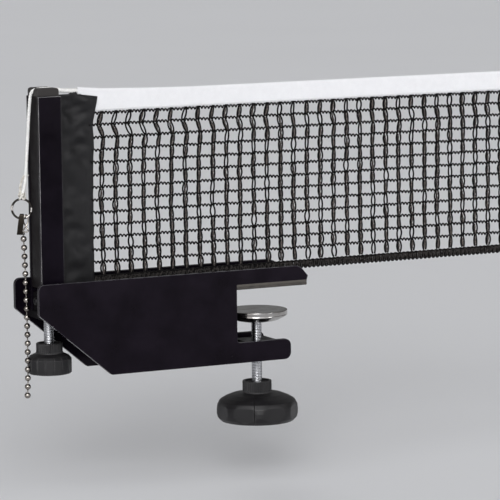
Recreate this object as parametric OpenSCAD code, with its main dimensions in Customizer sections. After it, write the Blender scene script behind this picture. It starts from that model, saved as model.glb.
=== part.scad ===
// Table tennis net clamp: a bracket that grips the table edge, the net post that stands on it,
// its height screw and clamp screw, the tension cord with its ring and bead chain, and the end
// of the net that the post carries. All sizes are in millimetres.
//
// Frame: the origin is on the clamp screw's axis, at the face of the upper jaw pad, which is
// where the table top lies. +X runs along the net over the table, +Z is up, and the front side
// plate is on the -Y side.

/* [Side plates] */
// Thickness of each side plate
plate_t = 3; // [2:0.5:4]
// Clear width between the side plates
plate_gap = 42.5; // [36:0.5:56]
// Length of the plates behind the table edge
plate_back = 160.5; // [158:0.5:190]
// Height of the plates' top edge over the table top
plate_rise = 15; // [14:0.5:20]
// Depth of the plates' bottom edge under the table top
plate_drop = 55.5; // [53:0.5:70]
// Height of the plates' upright back edge
plate_heel = 22.5; // [17:0.5:28]
// Length of the plates' slanted lower edge, measured along the net
plate_slant = 57; // [45:1:75]
// Rounding of the plates' upper back corner
plate_round = 4.5; // [1:0.5:6]

/* [Jaw] */
// Distance from the table edge to the clamp screw
screw_reach = 28; // [26:0.5:34]
// Reach of the upper finger from the table edge
upper_reach = 60; // [56:0.5:80]
// Reach of the lower finger from the table edge
lower_reach = 45; // [44:0.5:60]
// Depth of the lower finger's top edge under the table top
finger_depth = 40; // [38:0.5:42]
// Rounding of the lower finger's end
finger_round = 5; // [1:0.5:7]
// Length of the slope that cuts the upper finger's end
finger_slope = 5.5; // [2:0.5:8]
// Thickness of the jaw pad
pad_t = 4; // [2:0.5:5]
// Thickness of the plates that tie the two sides together
web_t = 3; // [2:0.5:4]
// Side of the square nut that the clamp screw turns in
nut_side = 26; // [18:0.5:32]
// Thickness of that nut
nut_t = 3.5; // [2.5:0.5:5]
// Gap between the jaw pad and the pressure disc as it stands
jaw_open = 19.5; // [10:0.5:20]

/* [Pressure disc] */
// Radius of the pressure disc
disc_r = 23.75; // [16:0.25:26]
// Height of the disc's upright rim
disc_rim = 4; // [2.5:0.25:5]
// Height of the dished underside below the rim
disc_dish = 5.5; // [4:0.25:8]
// Thickness of the disc's sheet
disc_t = 1.2; // [0.8:0.1:1.6]

/* [Screws] */
// Radius of both threaded rods over the thread
screw_r = 3.9; // [3:0.1:5]
// Radius of the clamp screw's turned tip
tip_r = 3; // [2:0.1:3]
// Length of the clamp screw between the disc and its knob
clamp_reach = 44.7; // [44:0.5:80]
// Depth of the height knob's top under the table top
height_knob_depth = 31.5; // [28:0.5:60]
// Length of the height screw inside the post, above the table top
height_screw_top = 34; // [33:0.5:60]

/* [Knobs] */
// Radius of the clamp knob's rim
knob_r = 31; // [24:0.5:40]
// Height of the clamp knob's rim band
knob_band = 9.5; // [9:0.5:20]
// Height of the clamp knob's dome between hub and rim
knob_dome = 12; // [11:0.5:16]
// Rounding of the clamp knob's shoulder
knob_shoulder = 8; // [4:0.5:8.5]
// Radius of the clamp knob's hub
hub_r = 11; // [9.5:0.1:14]
// Height of the clamp knob's hub
hub_h = 9; // [5:0.5:12]
// Number of grip flats around the clamp knob
knob_flats = 8; // [6:1:12]
// Depth of the clamp knob's grip flats
knob_flat_depth = 1.4; // [0.4:0.1:2]
// Radius of the height knob's rim
small_knob_r = 16.7; // [14.5:0.1:24]
// Height of the height knob's rim band
small_knob_band = 11; // [9:0.5:16]
// Height of the height knob's shoulder between hub and rim
small_knob_dome = 4; // [3.5:0.1:8]
// Rounding of the height knob's shoulder
small_knob_shoulder = 3; // [1.5:0.1:3]
// Radius of the height knob's hub
small_hub_r = 9.7; // [9.4:0.1:12]
// Height of the height knob's hub
small_hub_h = 7.5; // [5:0.5:14]
// Number of grip flats around the height knob
small_knob_flats = 16; // [10:1:20]
// Depth of the height knob's grip flats
small_flat_depth = 0.35; // [0.1:0.05:0.5]

/* [Post] */
// Distance from the table edge to the post's outer face
post_offset = 152.5; // [140:0.5:156]
// Width of the post along the net
post_w = 18; // [17:0.5:24]
// Depth of the post across the net
post_d = 22.5; // [21:0.5:30]
// Wall of the post's channel
post_wall = 3; // [2:0.25:3]
// Height of the post's top over the table top
post_top = 151; // [145:0.5:156]
// Depth of the post's foot under the table top
post_sink = 8; // [6:0.5:10]
// Height of the block under the post
foot_h = 5; // [3:0.5:10]
// Offset of the height screw from the post's middle, towards the table
screw_shift = 0.7; // [0:0.1:1]
// Wall of the slider that runs in the post
slider_wall = 2; // [1.5:0.25:2.5]
// Height of the cap on the slider
cap_h = 5.8; // [5:0.1:9]

/* [Net] */
// Height of the net's top edge over the table top
net_top = 152.7; // [148:0.1:154]
// How much higher the tape starts at the post
tape_lift = 3.6; // [0:0.1:4]
// Width of the folded tape
tape_h = 14.8; // [10:0.1:20]
// Height of the net's lower edge over the table top
net_bottom = 9; // [8:0.5:12]
// Height of the knitted band along the lower edge
band_h = 7; // [4:0.5:10]
// Length of net beyond the clamp screw
net_length = 258; // [160:1:400]
// Width of the cloth sleeve that joins the net to the post
sleeve_w = 29.5; // [24:0.5:50]
// Thickness of the sleeve
sleeve_t = 1.4; // [0.8:0.1:1.8]
// Thickness of a net strand
strand_t = 1.6; // [1:0.1:2]
// Rows of openings in the net
net_rows = 12; // [6:1:12]
// Columns of openings in the net
net_columns = 24; // [10:1:25]

/* [Cord and chain] */
// Diameter of the tension cord
cord_d = 2.4; // [1.6:0.1:2.6]
// Radius of the ring, to the middle of its wire
ring_r = 7.2; // [6:0.1:9]
// Radius of the ring's wire
ring_wire_r = 0.8; // [0.6:0.1:1]
// Turn of the ring about the upright
ring_turn = 26; // [0:1:40]
// Number of beads on the chain
bead_count = 19; // [5:1:24]
// Radius of a bead
bead_r = 2.25; // [1.5:0.05:2.5]
// Distance from bead to bead
bead_pitch = 6.45; // [5.5:0.05:8]

/* [Hidden] */
$fn = 64;

// Clearances and small fixed sizes
fit = 0.05;           // running fit of a shaft in its bore, on the radius
slide_fit = 0.1;      // gap each side of a piece that slides in another
seat_gap = 0.3;       // gap between pieces that must not rub
cut = 1;              // how far a cutter passes the surface that it cuts
hex_r = 7.5;          // corner radius of an M8 hexagon nut
hex_t = 6.5;          // its thickness
hex_inset = 0.5;      // how far a knob's nut lies inside the knob's bottom face
plate_small_round = 2;
heel_round = 3;
nose_back = 1;        // the upper finger's blunt end: its step back, height and rounding
nose_rise = 3;
nose_round = 0.8;
slope_drop = 1.6;     // the bend between the finger's slope and its top edge
slope_run = 4;
slope_round = 1.5;

// Bracket
inner_y = plate_gap / 2;
outer_y = inner_y + plate_t;
throat_x = -screw_reach;
back_x = throat_x - plate_back;
upper_end_x = throat_x + upper_reach;
lower_end_x = throat_x + lower_reach;
pad_inset = 0.4;
web_end_x = upper_end_x - finger_slope;
nut_drop = 6;
nut_web_z = -finger_depth - nut_drop;
nut_top_z = nut_web_z + nut_t;
nut_margin = 0.5;
nut_web_end_x = nut_side / 2 + nut_margin;

// Post and height screw
post_x = throat_x - post_offset;
post_in_x = post_x + post_w - post_wall;
post_axis_x = post_x + post_w / 2 + screw_shift;
slider_y = post_d / 2 - post_wall - slide_fit;
slider_set_back = 0.6;
slider_x = post_x + slider_set_back;
slider_in_x = post_in_x - slide_fit * 2;
foot_tongue_x = post_x + 1;
foot_tongue_z = 6;
slider_rise = 4;
slider_z = foot_tongue_z + slider_rise;
slider_nut_inset = 2;
slider_nut_z = slider_z + slider_nut_inset;
slider_nut_h = 10;
slider_nut_back = 0.5;
keeper_r = 1.5;
keeper_head_r = 2.8;
keeper_head_h = 2.8;
groove_depth = 0.9;
slit_w = 2.6;
slit_z = 6;
cap_y = 9;
cap_inset = 0.7;
cap_seat = 0.2;
cap_x = post_x + seat_gap;
cap_end_x = post_x + post_w - cap_inset;
cap_z = post_top + cap_seat;
cap_top_z = cap_z + cap_h;
cap_round = 2.2;
cap_plug_h = 12;
cord_slack = 1;
cap_groove_w = cord_d + cord_slack;
cap_groove_depth = 2.2;
cap_groove_z = cap_top_z - cap_groove_depth;
groove_lip = [0.9, 1.2];   // corner of the groove's outer ramp, from the cap's lower outer edge
groove_run = 3.5;          // where that ramp meets the groove's floor
groove_ramp = 2;           // length and drop of the ramp at the net end
groove_end_drop = 1.2;
height_knob_z = -height_knob_depth;

// Net
rod_r = 2.5;
rod_shift = 1.3;
rod_x = post_axis_x + rod_shift;
rod_clear = 4;
rod_z = height_screw_top + rod_clear;
rod_drop = 15;
rod_top_z = post_top - rod_drop;
hem_r = rod_r + slide_fit;
hem_t = 0.7;
sleeve_end_x = post_x + post_w + sleeve_w;
sleeve_top_z = cap_z;
sleeve_flare = 4;
sleeve_corner_drop = 2.5;
tape_t = 3;
tape_lap = 12;
tape_x = sleeve_end_x - tape_lap;
tape_ease = [[19, 0.55], [55, 0.2], [95, 0]];
tape_bottom_z = net_top - tape_h;
band_t = 2.4;
band_top_z = net_bottom + band_h;

// Cord, from the tape's end over the cap and down to the knot above the ring
hang_x = -190.5;
ring_z = 69;
knot_r = 2.5;
knot_rise = 1.2;
knot_flat = 2.3;
knot_z = ring_z + ring_r + knot_rise;
cord_sides = 8;
cord_route = [[-145.1, 0, 153.6], [-149, 0, 153.8], [-153, 0, 154.2], [-157, 0, 155], [-160, 0, 155.8],
  [-163, 0, 156.3], [-167, 0, 156.5], [-171, 0, 156.5], [-175, 0, 156.4], [-178, 0, 155.9],
  [-180.1, 0, 154.7], [-181.4, 0, 152.9], [-182.1, 0, 150.2], [-182.6, 0, 146], [-183.2, 0, 140],
  [-183.9, 0, 133], [-184.6, 0, 125], [-185.4, 0, 117], [-186.3, 0, 109], [-187.1, 0, 101],
  [-187.9, 0, 94], [-188.9, 0, 88], [-189.8, 0, 83.5], [-190.5, 0, 80]];

// Chain
clip_w = 4;
clip_t = 0.6;
clip_gap = 1.1;
clip_clear = 0.5;
clip_drop = 19;
clip_z = ring_z - clip_drop;
clip_shift = -2.3;
clip_top = clip_clear - sqrt(pow(ring_r - ring_wire_r, 2) - pow(clip_w / 2 - clip_shift, 2));
link_wire_r = 0.55;
link_w = 4;
link_shift = 2.9;
link_rise = 1.7;
chain_gap = 1.05;
chain_top_z = clip_z - bead_r - chain_gap;
chain_pin_r = 0.6;
chain_stop_r = 1;
chain_stop_h = 1;
chain_stop_gap = 0.1;
clip_foot_margin = 1;

// Clamp screw and knobs
disc_top_z = -jaw_open;
disc_bottom_z = disc_top_z - disc_rim - disc_dish;
collar_r = 6;
collar_h = 5;
face_inset = disc_t + 0.1;
tip_ring_r = 4.6;
tip_ring_t = 0.8;
clamp_knob_z = disc_bottom_z - seat_gap - clamp_reach;
clamp_knob_bottom_z = clamp_knob_z - hub_h - knob_dome - knob_band;
height_knob_bottom_z = height_knob_z - small_hub_h - small_knob_dome - small_knob_band;
hub_recess_h = 2;
hub_wall = 1.8;

// ---------------------------------------------------------------- shapes that repeat

// Corner b of the path a-b-c, rounded to radius r with a few chords
function rounded_corner(a, b, c, r, steps) =
  r <= 0 ? [b] :
  let (
    to_a = (a - b) / norm(a - b),
    to_c = (c - b) / norm(c - b),
    half = acos(to_a * to_c) / 2,
    centre = b + (to_a + to_c) / norm(to_a + to_c) * r / sin(half),
    first = b + to_a * r / tan(half) - centre,
    last = b + to_c * r / tan(half) - centre,
    turn = sign(first[0] * last[1] - first[1] * last[0]) * (180 - 2 * half)
  )
  [for (i = [0:steps])
    centre + [first[0] * cos(turn * i / steps) - first[1] * sin(turn * i / steps),
      first[0] * sin(turn * i / steps) + first[1] * cos(turn * i / steps)]];

// Closed outline through corners given as [x, y, rounding]
function rounded_outline(corners, steps = 5) =
  [for (i = [0:len(corners) - 1])
    let (
      n = len(corners),
      a = corners[(i + n - 1) % n],
      b = corners[i],
      c = corners[(i + 1) % n]
    )
    each rounded_corner([a[0], a[1]], [b[0], b[1]], [c[0], c[1]], b[2], steps)];

// A shape drawn in X-Z, as thick as the stretch from y_from to y_to
module slab(y_from, y_to) {
  translate([0, y_to, 0]) rotate([90, 0, 0]) linear_extrude(y_to - y_from) children();
}

// A block between two corners
module block(low, high) {
  translate(low) cube(high - low);
}

// A round bar or cutter along Z
module bar(x, z_from, z_to, r) {
  translate([x, 0, z_from]) cylinder(r = r, h = z_to - z_from);
}

// A hexagon nut's body along Z, with its corner radius
module hex_prism(x, z_from, z_to, r) {
  translate([x, 0, z_from]) cylinder(r = r, h = z_to - z_from, $fn = 6);
}

// ---------------------------------------------------------------- bracket

side_outline = rounded_outline([
  [back_x, plate_rise, plate_round],
  [back_x, plate_rise - plate_heel, heel_round],
  [back_x + plate_slant, -plate_drop, heel_round],
  [lower_end_x, -plate_drop, finger_round],
  [lower_end_x, -finger_depth, finger_round],
  [throat_x, -finger_depth, plate_small_round],
  [throat_x, pad_t, 0],
  [upper_end_x - nose_back, pad_t, 0],
  [upper_end_x, pad_t + nose_rise, nose_round],
  [upper_end_x - finger_slope, plate_rise - slope_drop, slope_round],
  [upper_end_x - finger_slope - slope_run, plate_rise, slope_round]]);

module front_side_plate() {
  color([0.07, 0.07, 0.08]) slab(-outer_y, -inner_y) polygon(side_outline);
}

module rear_side_plate() {
  color([0.07, 0.07, 0.08]) slab(inner_y, outer_y) polygon(side_outline);
}

// Bent plate on top of the pad: it ties the two upper fingers together
module upper_jaw_plate() {
  color([0.08, 0.08, 0.09]) union() {
    block([throat_x - web_t, -inner_y, pad_t], [web_end_x, inner_y, pad_t + web_t]);
    block([throat_x - web_t, -inner_y, 0], [throat_x, inner_y, pad_t]);
  }
}

module jaw_pad() {
  color([0.16, 0.15, 0.15])
    block([throat_x, -outer_y, 0], [upper_end_x - pad_inset, outer_y, pad_t]);
}

// Upright plate that the table edge butts against
module throat_plate() {
  color([0.08, 0.08, 0.09])
    block([throat_x - web_t, -inner_y, nut_web_z], [throat_x, inner_y, 0]);
}

// Plate between the lower fingers, which carries the nut
module lower_jaw_plate() {
  color([0.08, 0.08, 0.09]) difference() {
    block([throat_x - web_t, -inner_y, nut_web_z - web_t], [nut_web_end_x, inner_y, nut_web_z]);
    bar(0, nut_web_z - web_t - cut, nut_web_z + cut, screw_r + seat_gap);
  }
}

module clamp_nut() {
  color([0.5, 0.5, 0.52]) difference() {
    block([-nut_side / 2, -nut_side / 2, nut_web_z], [nut_side / 2, nut_side / 2, nut_top_z]);
    bar(0, nut_web_z - cut, nut_top_z + cut, screw_r + fit);
  }
}

// ---------------------------------------------------------------- post

// Block between the side plates, with a tongue that fills the channel's lower end
module post_foot() {
  color([0.1, 0.1, 0.11]) difference() {
    union() {
      block([post_x, -inner_y, -post_sink - foot_h], [post_x + post_w, inner_y, -post_sink]);
      block([foot_tongue_x, -slider_y, -post_sink], [slider_in_x, slider_y, foot_tongue_z]);
    }
    bar(post_axis_x, -post_sink - foot_h - cut, foot_tongue_z + cut, screw_r + fit);
    translate([post_x - cut, 0, 0]) rotate([0, 90, 0]) cylinder(r = keeper_r + fit, h = post_w / 2 + cut);
  }
}

// Its tip runs in the height screw's groove and keeps the screw from moving along its axis
module keeper_screw() {
  color([0.6, 0.6, 0.62]) union() {
    translate([foot_tongue_x - keeper_head_h, 0, 0]) rotate([0, 90, 0])
      cylinder(r = keeper_head_r, h = keeper_head_h);
    translate([foot_tongue_x, 0, 0]) rotate([0, 90, 0])
      cylinder(r = keeper_r, h = post_axis_x - screw_r + groove_depth - seat_gap - foot_tongue_x);
  }
}

// Channel open to the outside, slit on the net side for the sleeve
module post_channel() {
  color([0.06, 0.06, 0.07]) difference() {
    block([post_x, -post_d / 2, -post_sink], [post_x + post_w, post_d / 2, post_top]);
    block([post_x - cut, -post_d / 2 + post_wall, -post_sink - cut],
      [post_in_x, post_d / 2 - post_wall, post_top + cut]);
    block([post_in_x - cut, -slit_w / 2, slit_z], [post_x + post_w + cut, slit_w / 2, post_top + cut]);
  }
}

// Channel that runs in the post, open to the net side
module slider_bar() {
  color([0.12, 0.11, 0.11]) difference() {
    block([slider_x, -slider_y, slider_z], [slider_in_x, slider_y, post_top]);
    block([slider_x + slider_wall, -slider_y + slider_wall, slider_z - cut],
      [slider_in_x + cut, slider_y - slider_wall, post_top + cut]);
  }
}

// Nut in the slider's lower end, which the height screw lifts
module slider_nut() {
  color([0.65, 0.6, 0.45]) difference() {
    block([slider_x + slider_wall, -slider_y + slider_wall, slider_nut_z],
      [slider_in_x - slider_nut_back, slider_y - slider_wall, slider_nut_z + slider_nut_h]);
    bar(post_axis_x, slider_nut_z - cut, slider_nut_z + slider_nut_h + cut, screw_r + fit);
  }
}

// Cap on the slider, with a plug below and a groove that leads the cord over the top
module post_cap() {
  color([0.24, 0.24, 0.25]) difference() {
    union() {
      slab(-cap_y, cap_y) polygon(rounded_outline([
        [cap_x, cap_z, 0], [cap_end_x, cap_z, 0],
        [cap_end_x, cap_top_z, cap_round], [cap_x, cap_top_z, cap_round]]));
      block([slider_x + slider_wall, -slider_y + slider_wall, post_top - cap_plug_h],
        [rod_x, slider_y - slider_wall, cap_z]);
    }
    slab(-cap_groove_w / 2, cap_groove_w / 2) polygon([
      [cap_x - cut, cap_z - cap_groove_depth], [cap_x + groove_lip[0], cap_z + groove_lip[1]],
      [cap_x + groove_run, cap_groove_z], [cap_end_x - groove_ramp, cap_groove_z],
      [cap_end_x + cut, cap_groove_z - groove_end_drop],
      [cap_end_x + cut, cap_top_z + cut], [cap_x - cut, cap_top_z + cut]]);
  }
}

// ---------------------------------------------------------------- net

module net_rod() {
  color([0.55, 0.55, 0.57]) bar(rod_x, rod_z, rod_top_z, rod_r);
}

// Cloth sleeve: a hem around the rod and a panel out through the post's slit. Below the rod the
// panel starts further out, clear of the slider's nut.
module net_sleeve() {
  panel_x = rod_x + hem_r + hem_t / 2;
  color([0.09, 0.09, 0.1]) union() {
    slab(-sleeve_t / 2, sleeve_t / 2) polygon([
      [slider_in_x, net_bottom], [sleeve_end_x, net_bottom], [sleeve_end_x, tape_bottom_z],
      [sleeve_end_x + sleeve_flare, sleeve_top_z - sleeve_corner_drop], [tape_x, sleeve_top_z],
      [panel_x, sleeve_top_z], [panel_x, rod_z], [slider_in_x, rod_z]]);
    translate([rod_x, 0, rod_z]) linear_extrude(rod_top_z - rod_z) difference() {
      circle(r = hem_r + hem_t);
      circle(r = hem_r);
    }
  }
}

// Flat net: bars with rows and columns of openings between them
module net_mesh() {
  width = net_length - sleeve_end_x;
  height = tape_bottom_z - band_top_z;
  column = (width - strand_t) / net_columns;
  row = (height - strand_t) / net_rows;
  color([0.1, 0.09, 0.08]) slab(-strand_t / 2, strand_t / 2) difference() {
    translate([sleeve_end_x, band_top_z]) square([width, height]);
    for (i = [0:net_columns - 1])
      for (j = [0:net_rows - 1])
        translate([sleeve_end_x + strand_t + column * i, band_top_z + strand_t + row * j])
          square([column - strand_t, row - strand_t]);
  }
}

// Folded tape over the net's top edge; its end stands over the sleeve's top
module net_tape() {
  upper_edge = [for (ease = tape_ease) [tape_x + ease[0], net_top + tape_lift * ease[1]]];
  color([0.93, 0.93, 0.94]) slab(-tape_t / 2, tape_t / 2) polygon(concat(
    [[net_length, net_top], [net_length, tape_bottom_z],
      [sleeve_end_x + sleeve_flare, tape_bottom_z], [sleeve_end_x + sleeve_flare, sleeve_top_z],
      [tape_x, sleeve_top_z], [tape_x, net_top + tape_lift]],
    upper_edge));
}

module net_band() {
  color([0.1, 0.09, 0.08])
    block([sleeve_end_x, -band_t / 2, net_bottom], [net_length, band_t / 2, band_top_z]);
}

// ---------------------------------------------------------------- cord, ring and chain

// Unit direction of the cord's route at point i, in X-Z
function route_way(i) =
  let (
    ahead = cord_route[min(i + 1, len(cord_route) - 1)],
    behind = cord_route[max(i - 1, 0)]
  )
  (ahead - behind) / norm(ahead - behind);

// One ring of points round the route at point i
function route_ring(i) =
  let (way = route_way(i), across = [-way[2], 0, way[0]])
  [for (k = [0:cord_sides - 1])
    cord_route[i] + cord_d / 2 * (cos(360 * k / cord_sides) * across
      + sin(360 * k / cord_sides) * [0, 1, 0])];

module tension_cord() {
  last = len(cord_route) - 1;
  points = [for (i = [0:last]) each route_ring(i)];
  walls = [for (i = [0:last - 1]) for (k = [0:cord_sides - 1])
    let (next = (k + 1) % cord_sides)
    [i * cord_sides + k, (i + 1) * cord_sides + k, (i + 1) * cord_sides + next,
      i * cord_sides + next]];
  first_cap = [for (k = [0:cord_sides - 1]) k];
  last_cap = [for (k = [cord_sides - 1:-1:0]) last * cord_sides + k];
  color([0.88, 0.88, 0.85]) polyhedron(points, concat(walls, [first_cap, last_cap]));
}

// Moves its children to the ring's place and turn
module at_ring() {
  translate([hang_x, 0, ring_z]) rotate([0, 0, -ring_turn]) children();
}

// Knot that closes the cord round the ring
module cord_knot() {
  color([0.86, 0.86, 0.82]) difference() {
    translate([hang_x, 0, knot_z]) intersection() {
      sphere(r = knot_r);
      translate([-knot_r, -knot_r, -knot_r]) cube([2 * knot_r, 2 * knot_r, knot_r + knot_flat]);
    }
    at_ring() rotate([90, 0, 0]) rotate_extrude() translate([ring_r, 0]) circle(r = ring_wire_r + seat_gap);
  }
}

module cord_ring() {
  color([0.72, 0.7, 0.68]) at_ring() rotate([90, 0, 0])
    rotate_extrude() translate([ring_r, 0]) circle(r = ring_wire_r);
}

// Strap folded over the ring, with a foot that holds the chain's end
module chain_clip() {
  foot = -clip_drop;
  outside = clip_gap + clip_t;
  low_x = clip_shift - clip_w / 2;
  high_x = clip_shift + clip_w / 2;
  color([0.35, 0.31, 0.24]) at_ring() difference() {
    union() {
      block([low_x, -outside, foot], [high_x, outside, clip_top + clip_t]);
      block([clip_shift, -outside, foot], [chain_pin_r + clip_foot_margin, outside, foot + clip_t]);
    }
    block([low_x - cut, -clip_gap, foot + clip_t], [high_x + cut, clip_gap, clip_top]);
    translate([0, 0, foot - cut]) cylinder(r = chain_pin_r + fit, h = clip_t + 2 * cut);
  }
}

// Long wire link beside the clip
module chain_link() {
  top = -ring_r + ring_wire_r + link_rise;
  bottom = -clip_drop + clip_t + chain_stop_h;
  bend = link_w / 2 - link_wire_r;
  color([0.75, 0.72, 0.66]) at_ring() translate([link_shift, 0, 0]) rotate([90, 0, 90])
    union() {
      for (side = [-1, 1])
        translate([side * bend, bottom + bend, 0]) rotate([-90, 0, 0])
          cylinder(r = link_wire_r, h = top - bottom - 2 * bend);
      translate([0, top - bend, 0]) rotate_extrude(angle = 180) translate([bend, 0]) circle(r = link_wire_r);
      translate([0, bottom + bend, 0]) rotate([0, 0, 180])
        rotate_extrude(angle = 180) translate([bend, 0]) circle(r = link_wire_r);
    }
}

// Beads on one thin bar, and the stop that sits on the clip's foot
module bead_chain() {
  drop = bead_pitch * (bead_count - 1);
  stop = clip_z + clip_t + chain_stop_gap - chain_top_z;
  color([0.62, 0.58, 0.48]) at_ring() translate([0, 0, chain_top_z - ring_z]) union() {
    for (i = [0:bead_count - 1])
      translate([0, 0, -bead_pitch * i]) sphere(r = bead_r);
    translate([0, 0, -drop]) cylinder(r = chain_pin_r, h = drop + stop + chain_stop_h);
    translate([0, 0, stop]) cylinder(r = chain_stop_r, h = chain_stop_h);
  }
}

// ---------------------------------------------------------------- clamp screw

// Pressed dish with a collar that turns on the screw's tip
module pressure_disc() {
  color([0.75, 0.75, 0.76]) translate([0, 0, disc_bottom_z]) rotate_extrude() polygon([
    [tip_r + fit, 0], [collar_r + 3, 0.2], [disc_r * 0.72, disc_dish * 0.35], [disc_r - 1.6, disc_dish - 0.9],
    [disc_r - 0.4, disc_dish], [disc_r, disc_dish + 1.1], [disc_r, disc_rim + disc_dish],
    [disc_r - disc_t, disc_rim + disc_dish], [disc_r - disc_t, disc_dish + 1.2],
    [disc_r * 0.72 - 0.4, disc_dish * 0.35 + disc_t], [collar_r, 0.2 + disc_t],
    [collar_r, collar_h], [tip_r + fit, collar_h]]);
}

// Flat plate that closes the dish
module disc_face() {
  color([0.7, 0.7, 0.71]) bar(0, disc_top_z - disc_t, disc_top_z, disc_r - face_inset);
}

module clamp_spindle() {
  color([0.72, 0.72, 0.74]) union() {
    bar(0, clamp_knob_bottom_z + hex_t / 2, disc_bottom_z - seat_gap, screw_r);
    bar(0, disc_bottom_z - seat_gap, disc_bottom_z + collar_h + seat_gap * 2 + tip_ring_t, tip_r);
  }
}

// Ring that keeps the screw's tip in the disc's collar
module tip_ring() {
  color([0.5, 0.5, 0.5]) difference() {
    bar(0, disc_bottom_z + collar_h + seat_gap, disc_bottom_z + collar_h + seat_gap + tip_ring_t, tip_ring_r);
    bar(0, disc_bottom_z, disc_top_z, tip_r);
  }
}

// Shared body of both knobs: a hub over a domed shoulder and a rim band, bored for the rod
module knob_body(x, top_z, hub, hub_height, rim, dome, band, shoulder) {
  hub_z = top_z - hub_height;
  rim_z = hub_z - dome;
  bottom = rim_z - band;
  translate([x, 0, 0]) rotate_extrude() polygon(rounded_outline([
    [screw_r + fit, top_z - hub_recess_h, 0], [hub - hub_wall, top_z - hub_recess_h, 0.4],
    [hub - hub_wall, top_z, 0.4], [hub, top_z, 0.6], [hub, hub_z, 0.6],
    [rim - shoulder * 0.15, hub_z - shoulder * 0.2, shoulder],
    [rim, rim_z, 0.5],
    [rim, bottom + band / 2, 1.5],
    [rim - band / 5, bottom, 0.8],
    [screw_r + fit, bottom, 0]], 6));
}

// Flat cuts around a knob's rim, up to its shoulder
module grip_flats(x, count, reach, rim, z_from, z_to) {
  for (i = [0:count - 1])
    translate([x, 0, 0]) rotate([0, 0, 360 / count * i])
      block([-rim / 2, -rim - cut, z_from - cut], [rim / 2, -reach, z_to]);
}

module clamp_knob() {
  color([0.09, 0.09, 0.09]) difference() {
    knob_body(0, clamp_knob_z, hub_r, hub_h, knob_r, knob_dome, knob_band, knob_shoulder);
    grip_flats(0, knob_flats, knob_r - knob_flat_depth, knob_r, clamp_knob_bottom_z,
      clamp_knob_z - hub_h);
    hex_prism(0, clamp_knob_bottom_z - cut, clamp_knob_bottom_z + hex_t, hex_r + slide_fit);
  }
}

module clamp_knob_nut() {
  color([0.6, 0.6, 0.62]) difference() {
    hex_prism(0, clamp_knob_bottom_z + hex_inset, clamp_knob_bottom_z + hex_t, hex_r);
    bar(0, clamp_knob_bottom_z - cut, clamp_knob_bottom_z + hex_t + cut, screw_r + fit);
  }
}

// ---------------------------------------------------------------- height screw

module height_spindle() {
  groove_half = keeper_r + 0.2;
  color([0.72, 0.72, 0.74]) union() {
    bar(post_axis_x, height_knob_bottom_z + hex_t / 2, -groove_half, screw_r);
    bar(post_axis_x, -groove_half, groove_half, screw_r - groove_depth);
    bar(post_axis_x, groove_half, height_screw_top, screw_r);
  }
}

module height_knob() {
  color([0.09, 0.09, 0.09]) difference() {
    knob_body(post_axis_x, height_knob_z, small_hub_r, small_hub_h, small_knob_r, small_knob_dome,
      small_knob_band, small_knob_shoulder);
    grip_flats(post_axis_x, small_knob_flats, small_knob_r - small_flat_depth, small_knob_r,
      height_knob_bottom_z, height_knob_z - small_hub_h);
    hex_prism(post_axis_x, height_knob_bottom_z - cut, height_knob_bottom_z + hex_t,
      hex_r + slide_fit);
  }
}

module height_knob_nut() {
  color([0.6, 0.6, 0.62]) difference() {
    hex_prism(post_axis_x, height_knob_bottom_z + hex_inset, height_knob_bottom_z + hex_t, hex_r);
    bar(post_axis_x, height_knob_bottom_z - cut, height_knob_bottom_z + hex_t + cut, screw_r + fit);
  }
}

front_side_plate();
rear_side_plate();
upper_jaw_plate();
jaw_pad();
throat_plate();
lower_jaw_plate();
clamp_nut();
post_foot();
keeper_screw();
post_channel();
slider_bar();
slider_nut();
post_cap();
net_rod();
net_sleeve();
net_mesh();
net_tape();
net_band();
tension_cord();
cord_knot();
cord_ring();
chain_clip();
chain_link();
bead_chain();
pressure_disc();
disc_face();
clamp_spindle();
tip_ring();
clamp_knob();
clamp_knob_nut();
height_spindle();
height_knob();
height_knob_nut();
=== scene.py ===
"""A table tennis net clamp and the end of its net, dressed over its CAD frame."""
import logging
import math
import random
from collections.abc import Callable, Mapping
from dataclasses import dataclass, field
from enum import Enum

import bmesh
import bpy
from mathutils import Matrix, Vector, noise


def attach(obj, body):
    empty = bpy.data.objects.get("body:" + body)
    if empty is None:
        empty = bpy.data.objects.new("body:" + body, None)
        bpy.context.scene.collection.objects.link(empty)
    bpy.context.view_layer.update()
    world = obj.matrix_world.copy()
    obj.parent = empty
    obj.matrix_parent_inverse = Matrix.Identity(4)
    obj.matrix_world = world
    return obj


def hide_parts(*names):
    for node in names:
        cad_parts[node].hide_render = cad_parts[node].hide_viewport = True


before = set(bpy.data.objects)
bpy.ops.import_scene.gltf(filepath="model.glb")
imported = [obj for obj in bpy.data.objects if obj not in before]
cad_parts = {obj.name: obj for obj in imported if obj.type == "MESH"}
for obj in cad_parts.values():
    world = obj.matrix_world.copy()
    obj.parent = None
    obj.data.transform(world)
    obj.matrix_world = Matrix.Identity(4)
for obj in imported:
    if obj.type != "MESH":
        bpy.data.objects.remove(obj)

LOG = logging.getLogger("net_clamp")
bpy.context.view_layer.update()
MM = 0.001
TURN = 2 * math.pi
CURVE_STEPS = 12  # straight pieces between two points of a smooth path
WELD_GAP = 0.00001  # metres between corners that are taken as one
ROUNDED_ABOVE = 40  # degrees of turn above which a CAD edge is rounded
FIBRES = (0.3, 0.7)  # where the height of a fine grain mostly lies

Socket = bpy.types.NodeSocket
Sockets = Mapping[str, Socket]
Value = float | tuple | Socket


# ---------------------------------------------------------------- mesh code


def soft_min(a: float, b: float, softness: float) -> float:
    """Takes the smaller of two numbers, with a rounded change from one to the other.

    Args:
        a: First number.
        b: Second number.
        softness: How near the two are where the rounding starts.

    Returns:
        The smaller number, or a little less where the two are close.
    """
    near = max(softness - abs(a - b), 0.0) / softness
    return min(a, b) - near * near * softness / 4


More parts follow.
